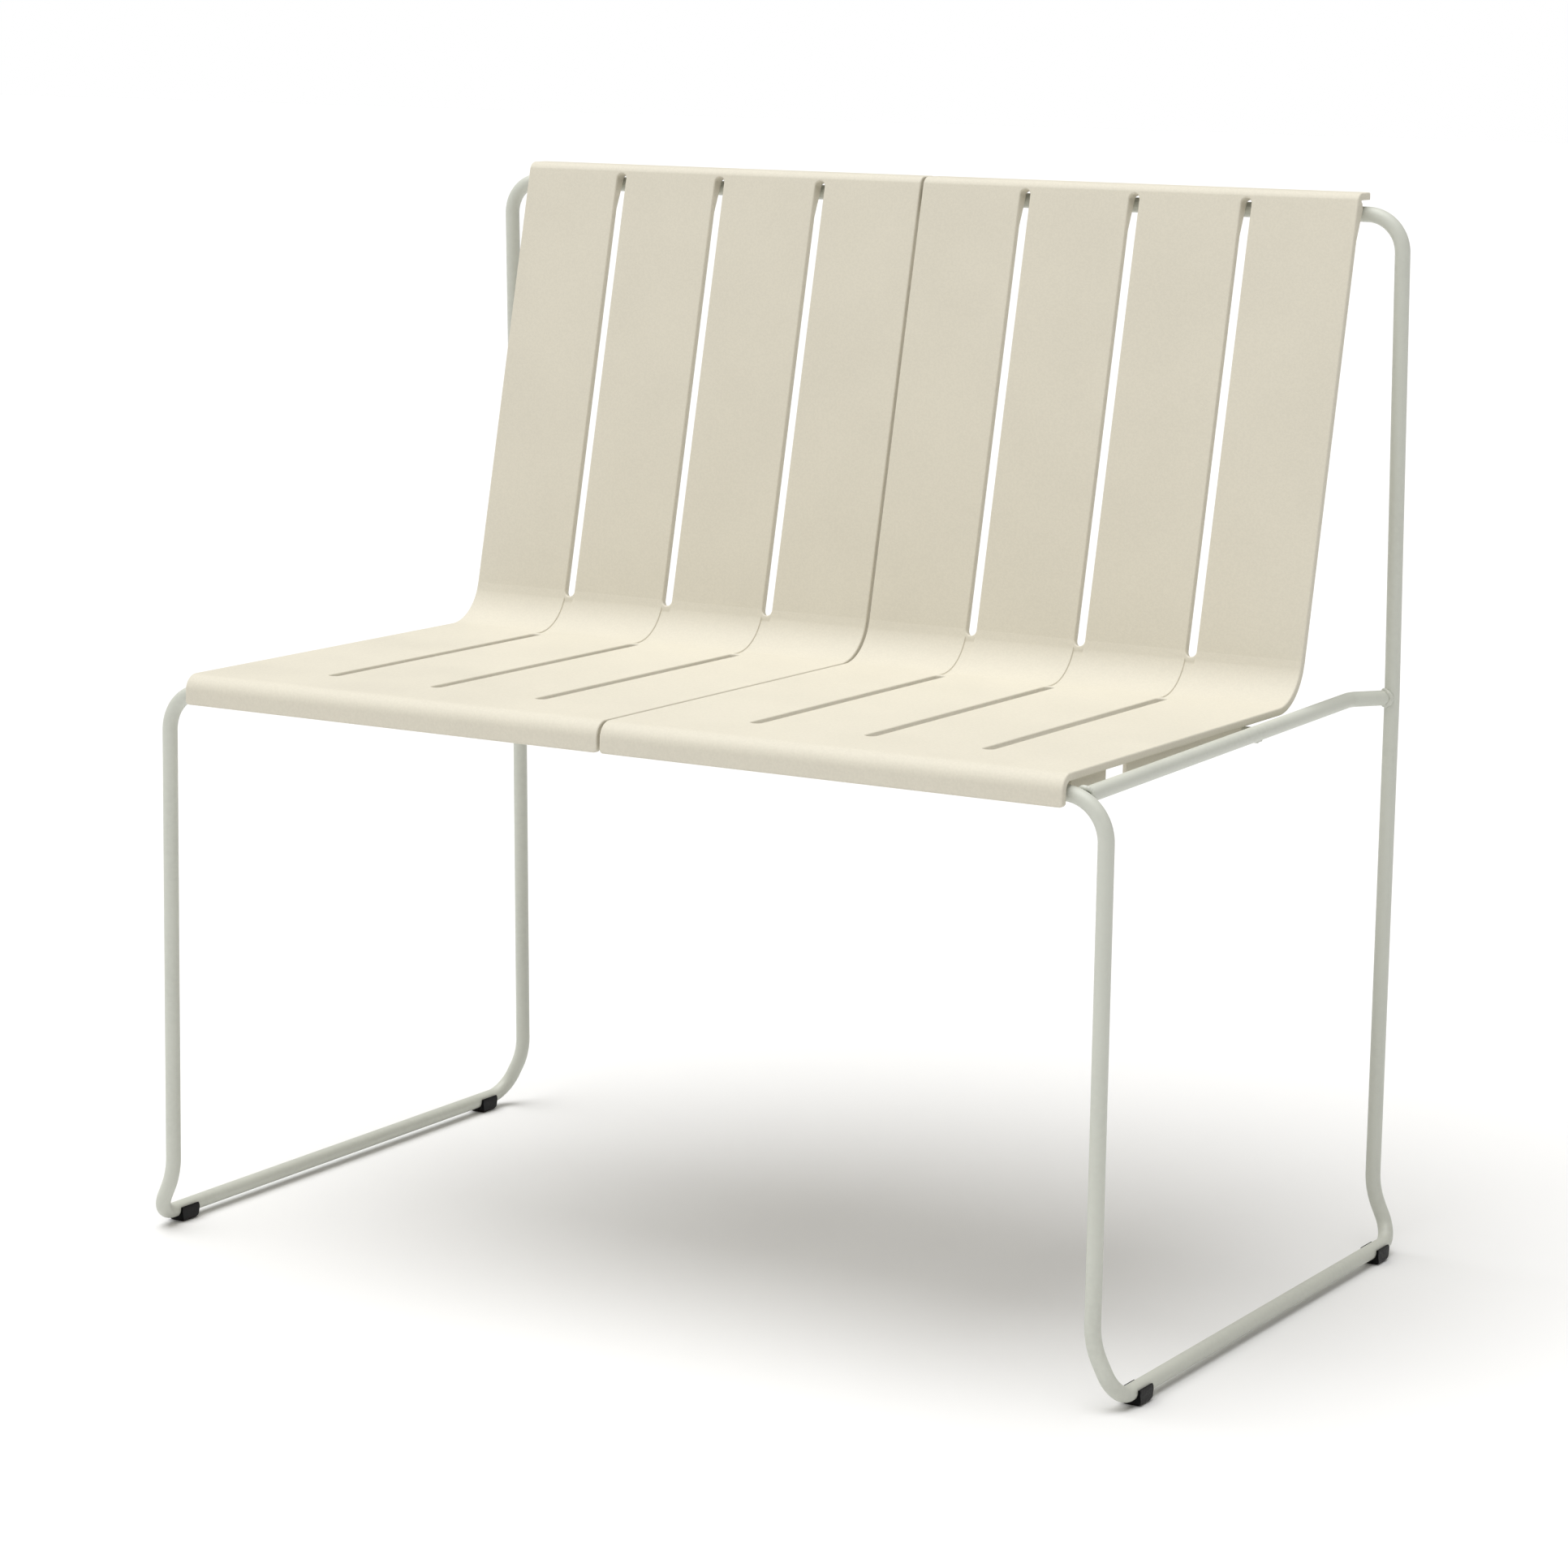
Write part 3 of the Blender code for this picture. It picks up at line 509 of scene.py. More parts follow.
def shell_section(look, low, high):
    """Points (y, z) along a shell's sitting face, from the lip's lower edge to the flange's tip."""
    lean = look.lean
    lip = (low.y + look.lip_radius, look.seat_height - look.lip_radius)
    tangent = look.bend_radius * math.tan((math.pi / 2 - lean) / 2)
    bend = (look.back_foot - tangent, look.seat_height + look.bend_radius)
    roll_z = high.z - look.top_radius
    face_z = roll_z + look.top_radius * math.sin(lean)
    face_y = look.back_foot + (face_z - look.seat_height) * math.tan(lean)
    roll = (face_y + look.top_radius * math.cos(lean), roll_z)
    arcs = (
        arc_points(lip, look.lip_radius, math.pi, math.pi / 2, math.radians(5)),
        arc_points(bend, look.bend_radius, -math.pi / 2, -lean, math.radians(3)),
        arc_points(roll, look.top_radius, math.pi - lean, math.pi / 2, math.radians(6)),
    )
    points = [(low.y, low.z)]
    for arc in arcs:
        points += straight_points(points[-1], arc[0]) + arc
    end = (high.y, high.z)
    return points + straight_points(points[-1], end) + [end]


def section_curve(name, points):
    curve = bpy.data.curves.new(name, "CURVE")
    curve.dimensions = "3D"
    spline = curve.splines.new("POLY")
    spline.points.add(len(points) - 1)
    for point, (y, z) in zip(spline.points, points):
        point.co = (0.0, y, z, 1.0)
    return link_object(name, curve)


def travelled(points):
    """Distance along the section at each of its points."""
    distances = [0.0]
    for first, second in zip(points, points[1:]):
        distances.append(distances[-1] + math.dist(first, second))
    return distances


def distance_at(points, distances, axis, value, heading_up):
    """Distance along the section where y or z passes a value, on the seat or on the back."""
    for index, (first, second) in enumerate(zip(points, points[1:])):
        rising = abs(second[1] - first[1]) > abs(second[0] - first[0])
        if rising == heading_up and first[0] > points[0][0] and first[axis] <= value <= second[axis]:
            part = (value - first[axis]) / (second[axis] - first[axis])
            return distances[index] + part * (distances[index + 1] - distances[index])
    raise ValueError("the section doesn't reach that place")


class Plate:
    """A shell laid out flat: u runs across it, v along its section, and w up from its sitting face."""

    def __init__(self, look, low, high):
        self.look = look
        self.width = high.x - low.x
        self.points = shell_section(look, low, high)
        self.distances = travelled(self.points)
        self.length = self.distances[-1]
        radius = look.slot_width / 2
        margin = look.face_ease + ROW_GAP
        front = distance_at(self.points, self.distances, 0, low.y + look.slot_setback, False)
        rear = distance_at(self.points, self.distances, 0, look.slot_seat_end, False)
        foot = distance_at(self.points, self.distances, 1, look.slot_foot, True)
        top = distance_at(self.points, self.distances, 1, look.slot_top, True)
        self.slot_spans = ((front + radius, rear - radius), (foot + radius, top - radius))
        self.marks = ((front - SLOT_LEAD, front + radius, rear - radius, rear + margin),
                      (foot - margin, foot + radius, top - radius, top + margin))
        self.rows = self.make_rows()
        middle = self.width / 2
        half = (look.slots - 1) / 2
        self.slot_centres = [middle + (n - half) * look.slot_pitch for n in range(look.slots)]
        self.mids = [middle + (n - half - 0.5) * look.slot_pitch for n in range(look.slots + 1)]
        self.builder = bmesh.new()
        self.vertices = {}

    def make_rows(self):
        """Every v where the plate has a cross row; none inside a corner or a slot's end."""
        ends = (self.look.corner, self.length - self.look.corner)
        special = sorted((*ends, *self.marks[0], *self.marks[1]))
        closed = [(0.0, ends[0]), (ends[1], self.length)]
        for before, start, end, after in self.marks:
            closed += [(before, start), (end, after)]
        rows = list(special)
        for v in self.distances:
            inside = any(low - JOIN < v < high + JOIN for low, high in closed)
            if not inside and all(abs(v - other) > ROW_GAP for other in special):
                rows.append(v)
        return sorted(rows)

    def wall(self, v):
        """Wall thickness: thicker behind the top, where the shell bears on the top bar."""
        look = self.look
        index = max(i for i, distance in enumerate(self.distances) if distance <= v + JOIN)
        index = min(index, len(self.points) - 2)
        part = (v - self.distances[index]) / (self.distances[index + 1] - self.distances[index])
        first, second = self.points[index], self.points[index + 1]
        y, z = (a + (b - a) * part for a, b in zip(first, second))
        if z < look.saddle_low - 2 * look.saddle_taper or v < self.slot_spans[1][0]:
            return look.wall
        thick = (look.saddle_face - y) / math.cos(look.lean)
        rear_z = z - thick * math.sin(look.lean)
        rise = smooth_step((rear_z - look.saddle_low + look.saddle_taper) / look.saddle_taper)
        top = self.points[-1][1]
        fall = smooth_step((top - z) / (TOP_FADE * look.top_radius))
        return look.wall + max(0.0, thick - look.wall) * (rise * fall)

    def vertex(self, u, v, front, drop):
        """The vertex at a place, a drop below the sitting face or above the hidden face."""
        w = -drop if front else -self.wall(v) + drop
        key = (round(u / JOIN), round(v / JOIN), round(w / JOIN))
        if key not in self.vertices:
            self.vertices[key] = self.builder.verts.new((u, v, w))
        return self.vertices[key]

    def edge_loop(self, inset):
        """The plate's outline, moved inwards."""
        corner, steps = self.look.corner, CORNER_STEPS
        loop = [(u, inset) for u in self.mids]
        for centre, start, side in (
                ((self.width - corner, corner), -90, 0), ((self.width - corner, self.length - corner), 0, 1),
                ((corner, self.length - corner), 90, 2), ((corner, corner), 180, 3)):
            turned = [math.radians(start + 90 * step / steps) for step in range(steps + 1)]
            reach = corner - inset
            loop += [(centre[0] + reach * math.cos(a), centre[1] + reach * math.sin(a)) for a in turned]
            inner_rows = self.rows[1:-1]
            if side == 0:
                loop += [(self.width - inset, v) for v in inner_rows]
            elif side == 1:
                loop += [(u, self.length - inset) for u in reversed(self.mids)]
            elif side == 2:
                loop += [(inset, v) for v in reversed(inner_rows)]
        return loop

    def slot_arc(self, centre, inset, span, end):
        """The rounded end of a slot; end is 0 at its start and 1 at its far end."""
        radius = self.look.slot_width / 2 + inset
        start = math.pi if end == 0 else 0.0
        angles = [start + math.pi * step / SLOT_END_STEPS for step in range(SLOT_END_STEPS + 1)]
        middle = self.slot_spans[span][end]
        return [(centre + radius * math.cos(a), middle + radius * math.sin(a)) for a in angles]

    def slot_loop(self, centre, inset, span):
        radius = self.look.slot_width / 2 + inset
        near, far = self.slot_spans[span]
        rows = [v for v in self.rows if near + JOIN < v < far - JOIN]
        return (self.slot_arc(centre, inset, span, 0) + [(centre + radius, v) for v in rows]
                + self.slot_arc(centre, inset, span, 1) + [(centre - radius, v) for v in reversed(rows)])

    def face(self, places, front, drop):
        corners = [self.vertex(u, v, front, drop) for u, v in places]
        self.builder.faces.new(corners)

    def broad_side(self, front, inset):
        """All of the sitting face, or all of the hidden face, inside the eased edges."""
        width, far_v, corner = self.width, self.length, self.look.corner
        first, last = self.mids[0], self.mids[-1]
        for a, b in zip(self.rows, self.rows[1:]):
            self.face([(inset, a), (first, a), (first, b), (inset, b)], front, 0.0)
            self.face([(last, a), (width - inset, a), (width - inset, b), (last, b)], front, 0.0)
        for sign_u, edge_u, mid in ((1, 0.0, first), (-1, width, last)):
            for sign_v, edge_v in ((1, 0.0), (-1, far_v)):
                centre = (edge_u + sign_u * corner, edge_v + sign_v * corner)
                reach = corner - inset
                angles = [math.pi / 2 * step / CORNER_STEPS for step in range(CORNER_STEPS + 1)]
                arc = [(centre[0] - sign_u * reach * math.cos(a), centre[1] - sign_v * reach * math.sin(a))
                       for a in angles]
                self.face(arc + [(mid, edge_v + sign_v * inset), (mid, centre[1])], front, 0.0)
        for a, b in ((inset, corner), (far_v - corner, far_v - inset)):
            for left, right in zip(self.mids, self.mids[1:]):
                self.face([(left, a), (right, a), (right, b), (left, b)], front, 0.0)
        for centre, left, right in zip(self.slot_centres, self.mids, self.mids[1:]):
            self.slot_surround(centre, left, right, front, inset)

    def slot_surround(self, centre, left, right, front, inset):
        """One slat-wide strip of a face, from the middle of one slat to the next, round its slots."""
        radius = self.look.slot_width / 2 + inset
        for a, b in zip(self.rows, self.rows[1:]):
            middle = (a + b) / 2
            if any(start < middle < end for _, start, end, _ in self.marks):
                self.face([(left, a), (centre - radius, a), (centre - radius, b), (left, b)], front, 0.0)
                self.face([(centre + radius, a), (right, a), (right, b), (centre + radius, b)], front, 0.0)
            elif not any(before < middle < after for before, _, _, after in self.marks):
                self.strip(centre, left, right, a, b, front)
        for span, (before, start, end, after) in enumerate(self.marks):
            near, far = self.groove_columns(centre, before, front), self.groove_columns(centre, after, front)
            self.face([(left, before), *near, (right, before), (right, start)]
                      + list(reversed(self.slot_arc(centre, inset, span, 0))) + [(left, start)], front, 0.0)
            self.face([(right, after), *reversed(far), (left, after), (left, end)]
                      + list(reversed(self.slot_arc(centre, inset, span, 1))) + [(right, end)], front, 0.0)

    def groove_columns(self, centre, v, front):
        """The groove's points across a row where it starts or ends."""
        at_groove = v in (self.marks[0][3], self.marks[1][0])
        return [(centre + offset, v) for offset in self.groove_offsets()] if front and at_groove else []

    def groove_offsets(self):
        """The groove's two rims and the two edges of its floor, from its middle."""
        half = self.look.slot_width / 2
        return (-half, -half + GROOVE_SIDE, half - GROOVE_SIDE, half)

    def strip(self, centre, left, right, a, b, front):
        """A full-width row of one strip, with the groove in it where it runs round the bend."""
        groove_start, groove_end = self.marks[0][3], self.marks[1][0]
        if not front or not groove_start < (a + b) / 2 < groove_end:
            self.face([(left, a), (right, a), (right, b), (left, b)], front, 0.0)
            return
        half = self.look.slot_width / 2
        depth = self.look.groove_depth
        deep_a, deep_b = (depth * min(1.0, (v - groove_start) / GROOVE_FADE, (groove_end - v) / GROOVE_FADE)
                          for v in (a, b))
        self.face([(left, a), (centre - half, a), (centre - half, b), (left, b)], front, 0.0)
        self.face([(centre + half, a), (right, a), (right, b), (centre + half, b)], front, 0.0)
        columns = self.groove_offsets()
        depths_a, depths_b = (0.0, deep_a, deep_a, 0.0), (0.0, deep_b, deep_b, 0.0)
        for index in range(3):
            u, following = centre + columns[index], centre + columns[index + 1]
            corners = [self.vertex(u, a, True, depths_a[index]),
                       self.vertex(following, a, True, depths_a[index + 1]),
                       self.vertex(following, b, True, depths_b[index + 1]),
                       self.vertex(u, b, True, depths_b[index])]
            if len(set(corners)) > 2:
                self.builder.faces.new(dict.fromkeys(corners))

    def rim(self, make_loop):
        """The wall round an outline, eased at both faces."""
        look = self.look
        levels = []
        for step in range(FACE_EASE_STEPS + 1):
            a = math.pi / 2 * step / FACE_EASE_STEPS
            levels.append((look.face_ease * (1 - math.sin(a)), True, look.face_ease * (1 - math.cos(a))))
        for step in range(REAR_EASE_STEPS + 1):
            a = math.pi / 2 * step / REAR_EASE_STEPS
            levels.append((look.rear_ease * (1 - math.cos(a)), False, look.rear_ease * (1 - math.sin(a))))
        rings = []
        for inset, front, drop in levels:
            rings.append([self.vertex(u, v, front, drop) for u, v in make_loop(inset)])
        for upper, lower in zip(rings, rings[1:]):
            for index in range(len(upper)):
                following = (index + 1) % len(upper)
                quad = (upper[index], upper[following], lower[following], lower[index])
                if len(set(quad)) == 4:
                    self.builder.faces.new(quad)

    def mesh(self, name):
        look = self.look
        self.broad_side(True, look.face_ease)
        self.broad_side(False, look.rear_ease)
        self.rim(self.edge_loop)
        for centre in self.slot_centres:
            for span in (0, 1):
                self.rim(lambda inset, middle=centre, part=span: self.slot_loop(middle, inset, part))
        bmesh.ops.remove_doubles(self.builder, verts=self.builder.verts, dist=JOIN)
        bmesh.ops.recalc_face_normals(self.builder, faces=self.builder.faces)
        return mesh_from(name, self.builder)


def smooth_step(value):
    value = min(1.0, max(0.0, value))
    return value * value * (3 - 2 * value)


def wrap_tree():
    """Bends a flat plate along a section curve: v is the distance along it, w stands off from it."""
    tree, start, end = geometry_tree("Wrap plate on section", (
        ("Section", "NodeSocketObject"), ("Start X", "NodeSocketFloat")))
    section = add_node(tree, "GeometryNodeObjectInfo", {"Object": start.outputs["Section"]})
    place = add_node(tree, "GeometryNodeInputPosition")
    flat = add_node(tree, "ShaderNodeSeparateXYZ", {"Vector": place.outputs["Position"]}).outputs
    sample = add_node(tree, "GeometryNodeSampleCurve", mode="LENGTH")
    tree.links.new(section.outputs["Geometry"], sample.inputs["Curves"])
    tree.links.new(flat["Y"], sample.inputs["Length"])
    outward = calculate_vector(tree, "CROSS_PRODUCT", (1.0, 0.0, 0.0), sample.outputs["Tangent"])
    stand_off = add_node(tree, "ShaderNodeVectorMath", {0: outward, "Scale": flat["Z"]}, operation="SCALE")
    across = calculate(tree, "ADD", flat["X"], start.outputs["Start X"])
    sideways = add_node(tree, "ShaderNodeCombineXYZ", {"X": across}).outputs["Vector"]
    on_section = calculate_vector(tree, "ADD", sample.outputs["Position"], stand_off.outputs["Vector"])
    placed = calculate_vector(tree, "ADD", on_section, sideways)
    move = add_node(tree, "GeometryNodeSetPosition", {
        "Geometry": start.outputs["Geometry"], "Position": placed})
    return close_tree(tree, move.outputs["Geometry"], start, end)


def add_ribs(shell, look, outer_x, side):
    """Join the upright ribs under the seat, just inside the outer edge, to a shell."""
    builder = bmesh.new()
    builder.from_mesh(shell.data)
    middle_x = outer_x - side * (look.rib_inset + look.rib_wall / 2)
    height = look.rib_depth + look.wall / 2
    middle_z = look.seat_height - look.wall / 2 - height / 2
    spans = (look.rib_spans[0:2], look.rib_spans[2:4])
    for near_y, far_y in spans:
        place = Matrix.Translation((middle_x, (near_y + far_y) / 2, middle_z))
        size = Matrix.Diagonal((look.rib_wall, far_y - near_y, height, 1.0))
        cube = bmesh.ops.create_cube(builder, size=1.0, matrix=place @ size)
        edges = list({edge for vertex in cube["verts"] for edge in vertex.link_edges})
        bmesh.ops.bevel(builder, geom=edges, offset=look.rear_ease, segments=2, affect="EDGES", profile=0.5)
    builder.to_mesh(shell.data)
    builder.free()


class BENCH_OT_shells(bpy.types.Operator):
    """Build the two slatted shells"""
    bl_idname = "bench.shells"
    bl_label = "Shells"

    def execute(self, context):
        look = context.scene.bench.shell
        tree = wrap_tree()
        coat = finishes()["Cream shell plastic"]
        for side, word in SIDES:
            low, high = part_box(f"shell_{word}")
            plate = Plate(look, low, high)
            section = section_curve(f"section_{word}", plate.points)
            shell = link_object(f"bench_shell_{word}", plate.mesh(f"bench_shell_{word}"))
            run_tree(shell, tree, {"Section": section, "Start X": low.x, "Material": coat})
            bpy.data.objects.remove(section, do_unlink=True)
            add_ribs(shell, look, high.x if side > 0 else low.x, side)
            shell.data.set_sharp_from_angle(angle=SHARP_ANGLE)
            weighted_normals(shell)
            place_piece(shell, [f"shell_{word}"])
        return {"FINISHED"}


# --- rods -------------------------------------------------------------------------------------

def rod_tree():
    """Turns a string of corners into a bent round rod; "bend" holds each corner's radius."""
    tree, start, end = geometry_tree("Bent rod", (
        ("Radius", "NodeSocketFloat"), ("Sides", "NodeSocketInt"), ("Bend Steps", "NodeSocketInt")))
    line = add_node(tree, "GeometryNodeMeshToCurve", {"Mesh": start.outputs["Geometry"]})
    bend = add_node(tree, "GeometryNodeInputNamedAttribute", {"Name": "bend"}, data_type="FLOAT")
    fillet = add_node(tree, "GeometryNodeFilletCurve", mode="POLY")
    ring = add_node(tree, "GeometryNodeCurvePrimitiveCircle", {
        "Resolution": start.outputs["Sides"], "Radius": start.outputs["Radius"]})
    for output, label in ((line.outputs["Curve"], "Curve"), (start.outputs["Bend Steps"], "Count"),
                          (bend.outputs["Attribute"], "Radius")):
        tree.links.new(output, fillet.inputs[label])
    skin = add_node(tree, "GeometryNodeCurveToMesh", {
        "Curve": fillet.outputs["Curve"], "Profile Curve": ring.outputs["Curve"], "Fill Caps": True})
    return close_tree(tree, skin.outputs["Mesh"], start, end)


def corner_string(name, corners, radii):
    """An open string of edges through the corners, with each inner corner's bend radius."""
    builder = bmesh.new()
    bend = builder.verts.layers.float.new("bend")
    string = [builder.verts.new(corner) for corner in corners]
    for vertex, radius in zip(string[1:-1], radii):
        vertex[bend] = radius
    for first, second in zip(string, string[1:]):
        builder.edges.new((first, second))
    return link_object(name, mesh_from(name, builder))


def mirrored(point):
    return Vector((-point[0], point[1], point[2]))


def hoop(right_side, radii):
    """Corners and bend radii of a whole hoop, from its right half."""
    corners = [mirrored(point) for point in reversed(right_side)] + [Vector(point) for point in right_side]
    return corners, list(reversed(radii)) + list(radii)


def frame_places(look):
    """Centre lines of the frame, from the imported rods' boxes."""
    front_low, front_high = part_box("front_hoop")
    _, rear_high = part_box("rear_hoop")
    cross_low, cross_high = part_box("rear_cross_rail")
    radius = look.rod_radius
    return {
        "front_y": front_low.y + radius,
        "bar_z": front_high.z - radius,
        "runner_x": front_high.x - radius,
        "runner_z": front_low.z + radius,
        "foot_y": rear_high.y - radius,
        "top_z": rear_high.z - radius,
        "top_y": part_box("top_clip_right_1")[1].y - radius - CLIP_OVER_ROD,
        "joint_y": rear_high.y - radius - look.joint_shift,
        "cross_y": (cross_low.y + cross_high.y) / 2,
        "cross_z": (cross_low.z + cross_high.z) / 2,
        "cross_x": cross_high.x,
    }


def front_hoop(look, at):
    elbow_y = at["front_y"] + look.elbow_shift
    right = [(look.leg_x, at["front_y"], at["bar_z"]), (look.leg_x, at["front_y"], look.knee_height),
             (at["runner_x"], elbow_y, at["runner_z"]), (at["runner_x"], 0.0, at["runner_z"])]
    return hoop(right, (look.corner_radius, look.knee_radius, look.elbow_radius))


def rear_hoop(look, at):
    elbow_y = at["foot_y"] - look.elbow_shift
    right = [(look.upright_x, at["top_y"], at["top_z"]), (look.upright_x, at["joint_y"], look.joint_height),
             (look.leg_x, at["foot_y"], look.knee_height),
             (at["runner_x"], elbow_y, at["runner_z"]), (at["runner_x"], 0.0, at["runner_z"])]
    return hoop(right, (look.top_radius, look.joint_radius, look.knee_radius, look.elbow_radius))


def side_rail(look, at, side):
    front = Vector((side * look.rail_x, at["front_y"] + look.rod_radius, look.rail_front_height))
    bend = Vector((side * look.rail_x, at["joint_y"] - look.rail_bend_shift, look.joint_height))
    upright = Vector((side * look.upright_x, at["joint_y"], look.joint_height))
    end = upright + (bend - upright).normalized() * look.rod_radius
    return [front, bend, end], (look.rail_bend_radius,)


def cross_rail(look, at):
    half = look.rail_x - look.rod_radius
    return [Vector((-half, at["cross_y"], at["cross_z"])), Vector((half, at["cross_y"], at["cross_z"]))], ()


class BENCH_OT_rods(bpy.types.Operator):
    """Build the two hoops and the three rails from bent rod"""
    bl_idname = "bench.rods"
    bl_label = "Rods"

    def execute(self, context):
        look = context.scene.bench.frame
        at = frame_places(look)
        tree = rod_tree()
        coat = finishes()["Grey-white powder coat"]
        rods = {"front_hoop": front_hoop(look, at), "rear_hoop": rear_hoop(look, at),
                "rear_cross_rail": cross_rail(look, at)}
        for side, word in SIDES:
            rods[f"side_rail_{word}"] = side_rail(look, at, side)
        for node, (corners, radii) in rods.items():
            rod = corner_string(f"bench_{node}", corners, radii)
            run_tree(rod, tree, {"Radius": look.rod_radius, "Sides": look.sides,
                                 "Bend Steps": look.bend_steps, "Material": coat})
            rod.data.set_sharp_from_angle(angle=SHARP_ANGLE)
            place_piece(rod, [node])
        return {"FINISHED"}


# --- welds ------------------------------------------------------------------------------------

def bead_tree():
    """Turns a closed string of points into a rippled weld bead."""
    tree, start, end = geometry_tree("Weld bead", (
        ("Radius", "NodeSocketFloat"), ("Ripples", "NodeSocketInt")))
    line = add_node(tree, "GeometryNodeMeshToCurve", {"Mesh": start.outputs["Geometry"]})
    along = add_node(tree, "GeometryNodeSplineParameter").outputs["Factor"]
    turns = calculate(tree, "MULTIPLY", along, start.outputs["Ripples"])
    wave = calculate(tree, "SINE", calculate(tree, "MULTIPLY", turns, 2 * math.pi))
    swell = calculate(tree, "MULTIPLY_ADD", wave, RIPPLE_HEIGHT, 1.0)
    size = calculate(tree, "MULTIPLY", swell, start.outputs["Radius"])
    thick = add_node(tree, "GeometryNodeSetCurveRadius", {"Curve": line.outputs["Curve"], "Radius": size})
    ring = add_node(tree, "GeometryNodeCurvePrimitiveCircle", {"Resolution": BEAD_SIDES, "Radius": 1.0})
    skin = add_node(tree, "GeometryNodeCurveToMesh", {
        "Curve": thick.outputs["Curve"], "Profile Curve": ring.outputs["Curve"], "Scale": size})
    return close_tree(tree, skin.outputs["Mesh"], start, end)


def bead_string(name, joint, inward, neighbour, rod_radius):
    """A closed string round the end of a rod where it meets a neighbour rod.

    joint is on the neighbour's centre line, inward points from there along the welded rod, and
    neighbour is the direction of the neighbour rod.
    """
    inward = inward.normalized()
    along = (neighbour - inward * neighbour.dot(inward)).normalized()
    across = inward.cross(along)
    out = BEAD_OUT * rod_radius
    builder = bmesh.new()
    ring = []
    for index in range(BEAD_POINTS):
        angle = 2 * math.pi * index / BEAD_POINTS
        reach = rod_radius * (BEAD_REACH - BEAD_DIP * abs(math.sin(angle)) ** 3)
        place = joint + inward * reach + (along * math.cos(angle) + across * math.sin(angle)) * out
        ring.append(builder.verts.new(place))
    for index in range(BEAD_POINTS):
        builder.edges.new((ring[index], ring[(index + 1) % BEAD_POINTS]))
    return link_object(name, mesh_from(name, builder))


class BENCH_OT_welds(bpy.types.Operator):
    """Build the weld beads round the ends of the rails"""
    bl_idname = "bench.welds"
    bl_label = "Welds"

    def execute(self, context):
        look = context.scene.bench.frame
        at = frame_places(look)
        tree = bead_tree()
        coat = finishes()["Grey-white powder coat"]
        for side, word in SIDES:
            rail, _ = side_rail(look, at, side)
            upright = Vector((side * look.upright_x, at["joint_y"], look.joint_height))
            bar = Vector((side * look.rail_x, at["front_y"], look.rail_front_height))
            rail_part = (at["cross_y"] - rail[0].y) / (rail[1].y - rail[0].y)
            crossing = rail[0].lerp(rail[1], rail_part)
            crossing.z = (crossing.z + at["cross_z"]) / 2
            beads = {
                f"weld_front_{word}": (bar, rail[1] - rail[0], Vector((1, 0, 0))),
                f"weld_rear_{word}": (upright, rail[1] - rail[2], Vector((0, 0, 1))),
                f"weld_cross_{word}": (crossing, Vector((-side, 0, 0)), rail[1] - rail[0]),
            }
            for node, (joint, inward, neighbour) in beads.items():
                bead = bead_string(f"bench_{node}", joint, inward, neighbour, look.rod_radius)
                size = look.bead_radius * (CROSS_BEAD_SIZE if "cross" in node else 1.0)
                run_tree(bead, tree, {"Radius": size, "Ripples": look.ripples, "Material": coat})
                place_piece(bead, [node])
        return {"FINISHED"}


# --- glides -----------------------------------------------------------------------------------

def glide_section(look, rod_radius, runner_z, low, high):
    """Closed (x, z) section about the runner: two wings round the rod over a rounded sole."""
    half = (high.x - low.x) / 2
    inner = rod_radius + GLIDE_GAP
    wing_top = high.z - runner_z
    lip = math.asin(wing_top / half)
    cradle = arc_points((0.0, runner_z), inner, -math.pi - lip, lip, math.radians(6))
    lip_round = (half * math.cos(lip), runner_z + wing_top)
    corner = look.sole_rounding
    sole = arc_points((half - corner, low.z + corner), corner, 0.0, -math.pi / 2, math.radians(10))
    right = [lip_round, (half, runner_z + WING_SHOULDER * wing_top),
             (half, runner_z - SOLE_SHOULDER * rod_radius)] + sole
    left = [(-x, z) for x, z in reversed(right)]
    return cradle + right + left


def build_glide(name, look, rod_radius, runner_z, low, high):
    """A glide, extruded along the runner with its ends bowed out at mid height."""
    outline = glide_section(look, rod_radius, runner_z, low, high)
    centre_x = (low.x + high.x) / 2
    middle_z = runner_z - GLIDE_WAIST * rod_radius
    spread_z = high.z - middle_z
    builder = bmesh.new()
    rings = []
    for index in range(GLIDE_ROUNDS + 1):
        part = index / GLIDE_ROUNDS
        ring = []
        for x, z in outline:
            bow = look.end_rounding * (1.0 if z < middle_z else WING_BOW)
            pull = bow * min(1.0, abs(z - middle_z) / spread_z) ** 2
            y = low.y + pull + (high.y - low.y - 2 * pull) * part
            ring.append(builder.verts.new((centre_x + x, y, z)))
        rings.append(ring)
    for first, second in zip(rings, rings[1:]):
        join_rings(builder, first, second)
    builder.faces.new(rings[0])
    builder.faces.new(reversed(rings[-1]))
    bmesh.ops.recalc_face_normals(builder, faces=builder.faces)
    if builder.calc_volume(signed=True) < 0:
        bmesh.ops.reverse_faces(builder, faces=builder.faces)
    return link_object(name, mesh_from(name, builder))


def ease_edges(item, width):
    """Round an object's hard edges and shade it, leaving a plain mesh."""
    bevel = item.modifiers.new("Eased edges", "BEVEL")
    bevel.width = width
    bevel.segments = 3
    bevel.limit_method = "ANGLE"
    bevel.angle_limit = EASE_ANGLE
    bevel.use_clamp_overlap = True
    bevel.miter_outer = "MITER_ARC"
    flattened(item)
    item.data.shade_smooth()
    item.data.set_sharp_from_angle(angle=SHARP_ANGLE)
    return weighted_normals(item)


